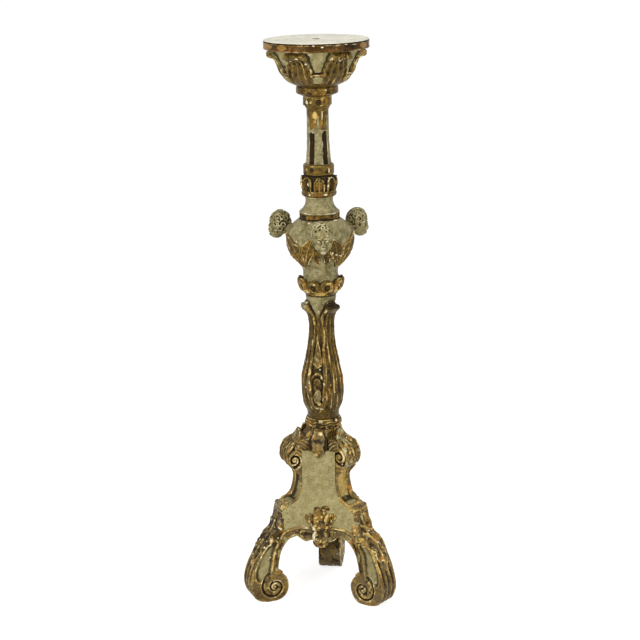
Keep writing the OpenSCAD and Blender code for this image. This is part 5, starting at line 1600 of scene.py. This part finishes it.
# Above the scroll the leaf stands free, so its edges are thin there and end on its own outline
free = ramp((0.36 - s) / 0.1)
for number, angle in enumerate(LEG_ANGLES, 1):
    slow = uneven(base + (0, 0, 600 * number), 26, 190 + number)
    room = wide * (1 - np.abs(u))
    ribs = arris(u * 2.5 + 0.15 * slow)
    shape = np.maximum(ramp(room / 2.4), free)
    body = 2.0 + 3.0 * ribs * ramp((s - 0.12) * 6) * ramp(room / 3) + 0.9 * uneven(base, 10, 200 + number)
    body = body * (0.8 + 0.4 * hump((s - 0.45) / 0.4)) * ramp((1.02 - s) * 7)
    height = body * shape - 2.6 * (1 - shape)
    spots = uneven(base + (300 * number, 0, 0), 24, 210 + number)
    fine = uneven(base + (300 * number, 0, 0), 8, 220 + number)
    is_left, is_right = number == LEFT_LEG, number == RIGHT_LEG
    settle(on_base("shoulder_leaf_%d_carving" % number, base, normal, angle, np.minimum(height, 6.6), thick, {
        "gilt": 1 - 0.62 * ramp((uneven(base + (0, 90 * number, 0), 18, 218) - 0.42 + 0.3 * is_right) / 0.3),
        "dark": [0.85, 0.5, 0.75][number - 1] * ramp((0.34 - ribs) / 0.24) * ramp(0.5 + uneven(base, 22, 216 + number))
                * ramp((s - 0.2) * 6) + 0.32 * is_left,
        "bright": 0.8 * is_right * ramp(0.2 + uneven(base, 12, 226)) * ramp(room / 3) * ramp((s - 0.3) * 6),
        "bole": np.clip(1.1 * (spots - 0.25) + 0.4 * fine, 0, 1),
        "chip": np.clip(2.0 * (fine - 0.72), 0, 1),
    }), ["shoulder_leaf_%d" % number], BASE_FINISH)
print("shoulder leaf points:", PIECES["shoulder_leaf_1_carving"])

# %% [markdown]
# ## Aprons, shells and hanging leaves
# A gilded scroll moulding runs round each arch. Over its middle sits a shell with fan-like ribs, two curls and a
# rounded foot, and a small leaf hangs over the top edge of each panel. The moulding and the leaf are strips laid on
# the panel. The shell is clay, because its ribs and curls cross each other.

# %% Apron
PANEL_ANGLES = [0, 120, 240]
FRONT_PANEL = 1
ARCH_ROWS = 280
COIL_EYE = (35, 173)
ARCH_LOW = [(-96.5, 80), (-94, 100), (-88, 126), (-76, 149), (-62, 163), (-53, 168), (-45, 164), (-36, 157),
            (-27, 154), (-18, 157), (0, 160), (18, 157), (27, 154), (36, 157), (45, 164), (53, 168), (62, 163),
            (76, 149), (88, 126), (94, 100), (96.5, 80)]
ARCH_HIGH = [(-104, 80), (-101, 112), (-94, 146), (-86, 170), (-73, 182), (-52, 189), (-34, 191), (0, 188), (34, 191),
             (52, 189), (73, 182), (86, 170), (94, 146), (101, 112), (104, 80)]
low, high = spaced(curve(ARCH_LOW, 8), ARCH_ROWS), spaced(curve(ARCH_HIGH, 8), ARCH_ROWS)
v = np.linspace(0, 1, 26)[None, :]
x = low[:, :1] * (1 - v) + high[:, :1] * v
z = low[:, 1:] * (1 - v) + high[:, 1:] * v
t = np.linspace(-1, 1, ARCH_ROWS)[:, None] + 0 * v
v = v + 0 * t
wide = np.hypot(high[:, 0] - low[:, 0], high[:, 1] - low[:, 1])[:, None]
base = np.stack([x, -panel_face(z), z], -1)
normal = np.stack([0 * x, 0 * x - 1, 0 * x], -1)
across = v * wide
for number, angle in enumerate(PANEL_ANGLES, 1):
    body = 2.2 + 3.0 * hump((across - 3.2) / 3.4) + 2.4 * hump((wide - across - 3.4) / 3.6)
    body = body + 0.6 * uneven(base, 14, 230 + number)
    coil, coil_turns = spiral_relief(np.abs(x), z, COIL_EYE, 130, 15.0, 400, 2.6, 3.0, 0.32)
    coil_here = ramp(coil_turns * 4)
    body = body * (1 - coil_here) + (5.6 + coil) * coil_here
    leaf_cut = np.abs(np.sin(math.pi * np.abs(t) * 9 + 0.5 * v)) ** 0.6
    body = body + 0.9 * (leaf_cut - 0.5) * ramp((np.abs(t) - 0.2) * 8) * ramp((0.85 - np.abs(t)) * 8)
    ends = ramp((0.5 - np.abs(v - 0.5)) / 0.07 + 0.2)
    spots = uneven(base + (0, 200 * number, 0), 26, 240 + number)
    soot = ramp(0.5 + 0.9 * uneven(base + (0, 40 * number, 0), 20, 245))
    settle(on_base("apron_%d_moulding" % number, base, normal, angle, np.minimum(body * ends, 9.0), 1.5, {
        "gilt": 1 - 0.55 * ramp((uneven(base + (0, 60 * number, 0), 24, 246) - 0.25) / 0.3),
        "bole": np.clip(1.2 * (spots - 0.2), 0, 1) * ramp((0.5 - v) * 3),
        "dark": np.maximum(0.9 * hump((v - 0.5) / 0.3), 0.36) * soot,
        "bright": 0.7 * hump((v - 0.2) / 0.3) * ramp(0.1 + 0.9 * uneven(base + (0, 70 * number, 0), 22, 247)),
        "chip": np.clip(1.6 * (uneven(base + (0, 90 * number, 0), 8, 250 + number) - 0.8), 0, 1),
    }), ["apron_%d" % number], BASE_FINISH)
print("apron points:", PIECES["apron_1_moulding"])

# %% Shell
SHELL_BACK = -88.0


def flat_spiral(middle, size, turns, start, y, thick, way):
    """Rope that coils in a plane parallel to the panel's face."""
    t = np.linspace(0, 1, 34)
    angle = math.radians(start) + way * t * turns * 2 * math.pi
    radius = size * (1 - 0.78 * t)
    path = np.stack([middle[0] + radius * np.cos(angle), y - 2.0 * t, middle[1] + radius * np.sin(angle)], 1)
    return rope(path, [thick * 0.7, thick, thick * 0.9, thick * 0.6], out=(0, -1, 0))


def shell_lumps(seed):
    """Lumps of a shell: two balls, five ribs, two coils, two curls that hold it, and its rounded foot."""
    draw = np.random.default_rng(seed)
    back = SHELL_BACK
    lumps = [ball((0, back + 1, 203), (13, 8, 27)), ball((0, back - 1, 172), (11.5, 9, 22))]
    for bottom, top_x, top_z in [(-5, -13, 221), (-3, -8.5, 230), (0, -1, 228), (2.5, 6.5, 232), (5, 12.5, 222)]:
        path = curve([(bottom, back - 7, 183), (bottom * 1.5, back - 10.5, 199),
                      (0.5 * (bottom + top_x), back - 9, 212), (top_x, back - 4 + 0.25 * (top_z - 215), top_z)], 6)
        lumps.append(rope(path, [2.0, 2.8, 3.2, 3.4], [2.6, 3.4, 3.6, 3.0], out=(0, -1, 0)))
    lumps.append(ball((-6.5, back + 3, 231), (6.6, 7, 6.5)))
    lumps.append(ball((7.5, back + 3, 233), (7.6, 7.5, 7.5)))
    lumps.append(flat_spiral((-24, 212), 9.0, 1.2, -70, back + 1, 4.6, 1))
    lumps.append(flat_spiral((24, 214), 8.8, 1.2, 250, back + 1, 4.4, -1))
    for side in (-1, 1):
        lumps.append(rope(curve([(side * 6, back - 3, 188), (side * 13, back - 3, 192), (side * 20, back + 1, 201),
                                 (side * 25, back + 2, 206)], 5), [5.6, 5.4, 4.6], out=(0, -1, 0)))
        lumps.append(rope(curve([(side * 5, back - 8, 186), (side * 9.5, back - 8.5, 176), (side * 9, back - 8, 164),
                                 (side * 4, back - 9, 157)], 6), [2.6, 3.2, 3.0, 2.4], out=(0, -1, 0)))
        lumps.append(ball((side * 4.6, back - 6.0, 150.5), (5.0, 6.0, 6.0)))
    lumps.append(ball((0, back - 4, 157), (13, 10, 14)))
    lumps.append(ball((0, back - 9.0, 160), (3.4, 4.0, 6.5)))
    for _ in range(9):
        lumps.append(ball((draw.uniform(-9, 9), back - 10 + draw.uniform(-1, 1), draw.uniform(188, 222)),
                          (draw.uniform(1.4, 2.4),) * 3))
    return lumps


print("shell maker ready")

# %% Three shells
for number, angle in enumerate(PANEL_ANGLES, 1):
    shell = clay("shell_%d_carving" % number, shell_lumps(260 + number), 0.9, 1)
    points, _, _ = skin(shell)
    follow = points.copy()
    follow[:, 1] += -SHELL_BACK - np.interp(points[:, 2], [130, 180, 200, 240], [93, 90, 86, 78])
    # The body is wider than it was modelled, and the front one was carved off centre
    follow[:, 0] = np.interp(points[:, 0], [-36, -23, -13, 0, 13, 23, 36], [-40, -27, -18.5, 0, 18.5, 27, 40])
    follow[:, 0] += 7.0 * (number == FRONT_PANEL)
    move_points(shell, turned_round(follow, angle))
    x, z = points[:, 0], points[:, 2]
    rough_patch = uneven(points + (0, 0, 300 * number), 12, 270 + number)
    bare_edge = (number == FRONT_PANEL) * blob(x, z, -10.5, 178, 3.4, 26)
    marks = {
        "gilt": np.ones(len(points)),
        "bole": np.clip(0.9 * (uneven(points, 18, 280 + number) - 0.1), 0, 1),
        "chip": np.maximum(np.clip(2.0 * (rough_patch - 0.85), 0, 1), bare_edge),
        "dark": np.maximum(blob(x, z, 0, 173, 6, 9), np.clip(1.7 * (uneven(points, 13, 300 + number) - 0.1), 0, 0.9)),
        "bright": np.clip(1.9 * (uneven(points, 7, 310 + number) - 0.15), 0, 1),
    }
    for mark, values in marks.items():
        put_mark(shell.data, mark, values)
    settle(shell, ["shell_%d" % number], BASE_FINISH)
print("shell points:", PIECES["shell_1_carving"])

# %% Hanging leaf
HANG_HALF = curve([(349, 0.5), (353, 5), (358, 9.5), (365, 16), (370, 16.5), (376, 14), (386, 15.5), (396, 16.5),
                   (403, 14), (408, 11.5), (413.5, 11)], 5)
HANG_OUT = [(349, 2.2), (360, 5.4), (372, 6.4), (385, 3.4), (399, -2.4), (413.5, -6.4)]
TOP_FACE = 56.4
z, x = np.broadcast_arrays(np.linspace(349.5, 413.4, 90)[:, None], np.linspace(-20, 20, 60)[None, :])
half = np.interp(z, HANG_HALF[:, 0], HANG_HALF[:, 1])
out = TOP_FACE + np.interp(z, *np.transpose(HANG_OUT))
base = np.stack([x, -(out - 4.5), z], -1)
normal = np.stack([0 * x, 0 * x - 1, 0 * x], -1)
BRIGHT_FRONT = patches(x, z, [(-4, 360, 6, 7), (5, 409, 8, 6)])
for number, angle in enumerate(PANEL_ANGLES, 1):
    room = half - np.abs(x) + 0.8 * uneven(base, 10, 290 + number)
    crown = np.sqrt(np.clip(1 - (x / (half + 1)) ** 2, 0, 1))
    ribs = arris(x / (half + 2) * 1.5)
    low_part = ramp((378 - z) / 6)
    body = 1.0 + 2.6 * crown + 1.8 * ribs * ramp((z - 352) / 8) * low_part + 0.5 * uneven(base, 8, 300 + number)
    body = body - 1.6 * patches(x, z, [(-1, 390, 13, 11)])
    shape = ramp(room / 1.6 + 0.3)
    height = np.where(shape > 0.02, body * shape, 0) - 3.5 * (1 - shape)
    settle(on_base("hanging_leaf_%d_carving" % number, base, normal, angle, np.minimum(height, 4.6), 5.0, {
        "gilt": 1.0,
        "dark": 0.7 * ramp((2.2 - room) / 1.6) * (z < 402) + 0.45 * blob(x, z, 0, 392, 15, 8) + 0.25 * (z < 400),
        # On the two back panels the top of the leaf gets painted light
        "bright": 0.75 * (BRIGHT_FRONT if number == FRONT_PANEL else ramp((z - 396) / 6)),
        "bole": blob(x, z, -10, 402, 6, 12) * 0.9,
        "chip": 0.8 * blob(x, z, 6, 409, 6, 3) * (number == FRONT_PANEL),
    }), ["hanging_leaf_%d" % number], BASE_FINISH)
print("hanging leaf points:", PIECES["hanging_leaf_1_carving"])

# %% [markdown]
# ## Panels and what is left of the exact solids
# The three panels are plain boards with a gentle hollow, so their exact solids are kept as they are and only get the
# paint. The dowels and glue blocks inside get bare wood: a pale brown with grain along it.

# %% Panels and bare wood
bare_wood, n = new_material("bare_pine")
stretched = n.add("ShaderNodeMapping", {"Vector": n.place(), "Scale": (60, 60, 9)}).outputs[0]
rings = n.add("ShaderNodeTexNoise", {"Vector": stretched, "Scale": 4.0, "Detail": 5.0}).outputs[0]
grain = n.step(rings, 0.38, 0.62)
wood_colour = n.mix(grain, colour(142, 104, 62), colour(188, 150, 102))
wood_colour = n.mix(n.times(n.noise(14, 4), 0.4), wood_colour, colour(96, 70, 44))
wood_bump = n.add("ShaderNodeBump", {"Height": rings, "Strength": 0.4, "Distance": 0.0004}).outputs[0]
wood = n.add("ShaderNodeBsdfPrincipled", {"Base Color": wood_colour, "Roughness": n.scaled(rings, 0.2, 0.55),
                                          "Normal": wood_bump}).outputs[0]
n.add("ShaderNodeOutputMaterial", {"Surface": wood})

for node in ("panel_1", "panel_2", "panel_3"):
    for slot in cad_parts[node].material_slots:
        slot.material = BASE_FINISH
for node in ("plate_dowels", "head_dowels", "leg_dowels", "glue_blocks"):
    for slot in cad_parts[node].material_slots:
        slot.material = bare_wood
print("kept solids finished")

# %% Points in the dressed pieces
print("points in all dressed pieces:", sum(PIECES.values()))
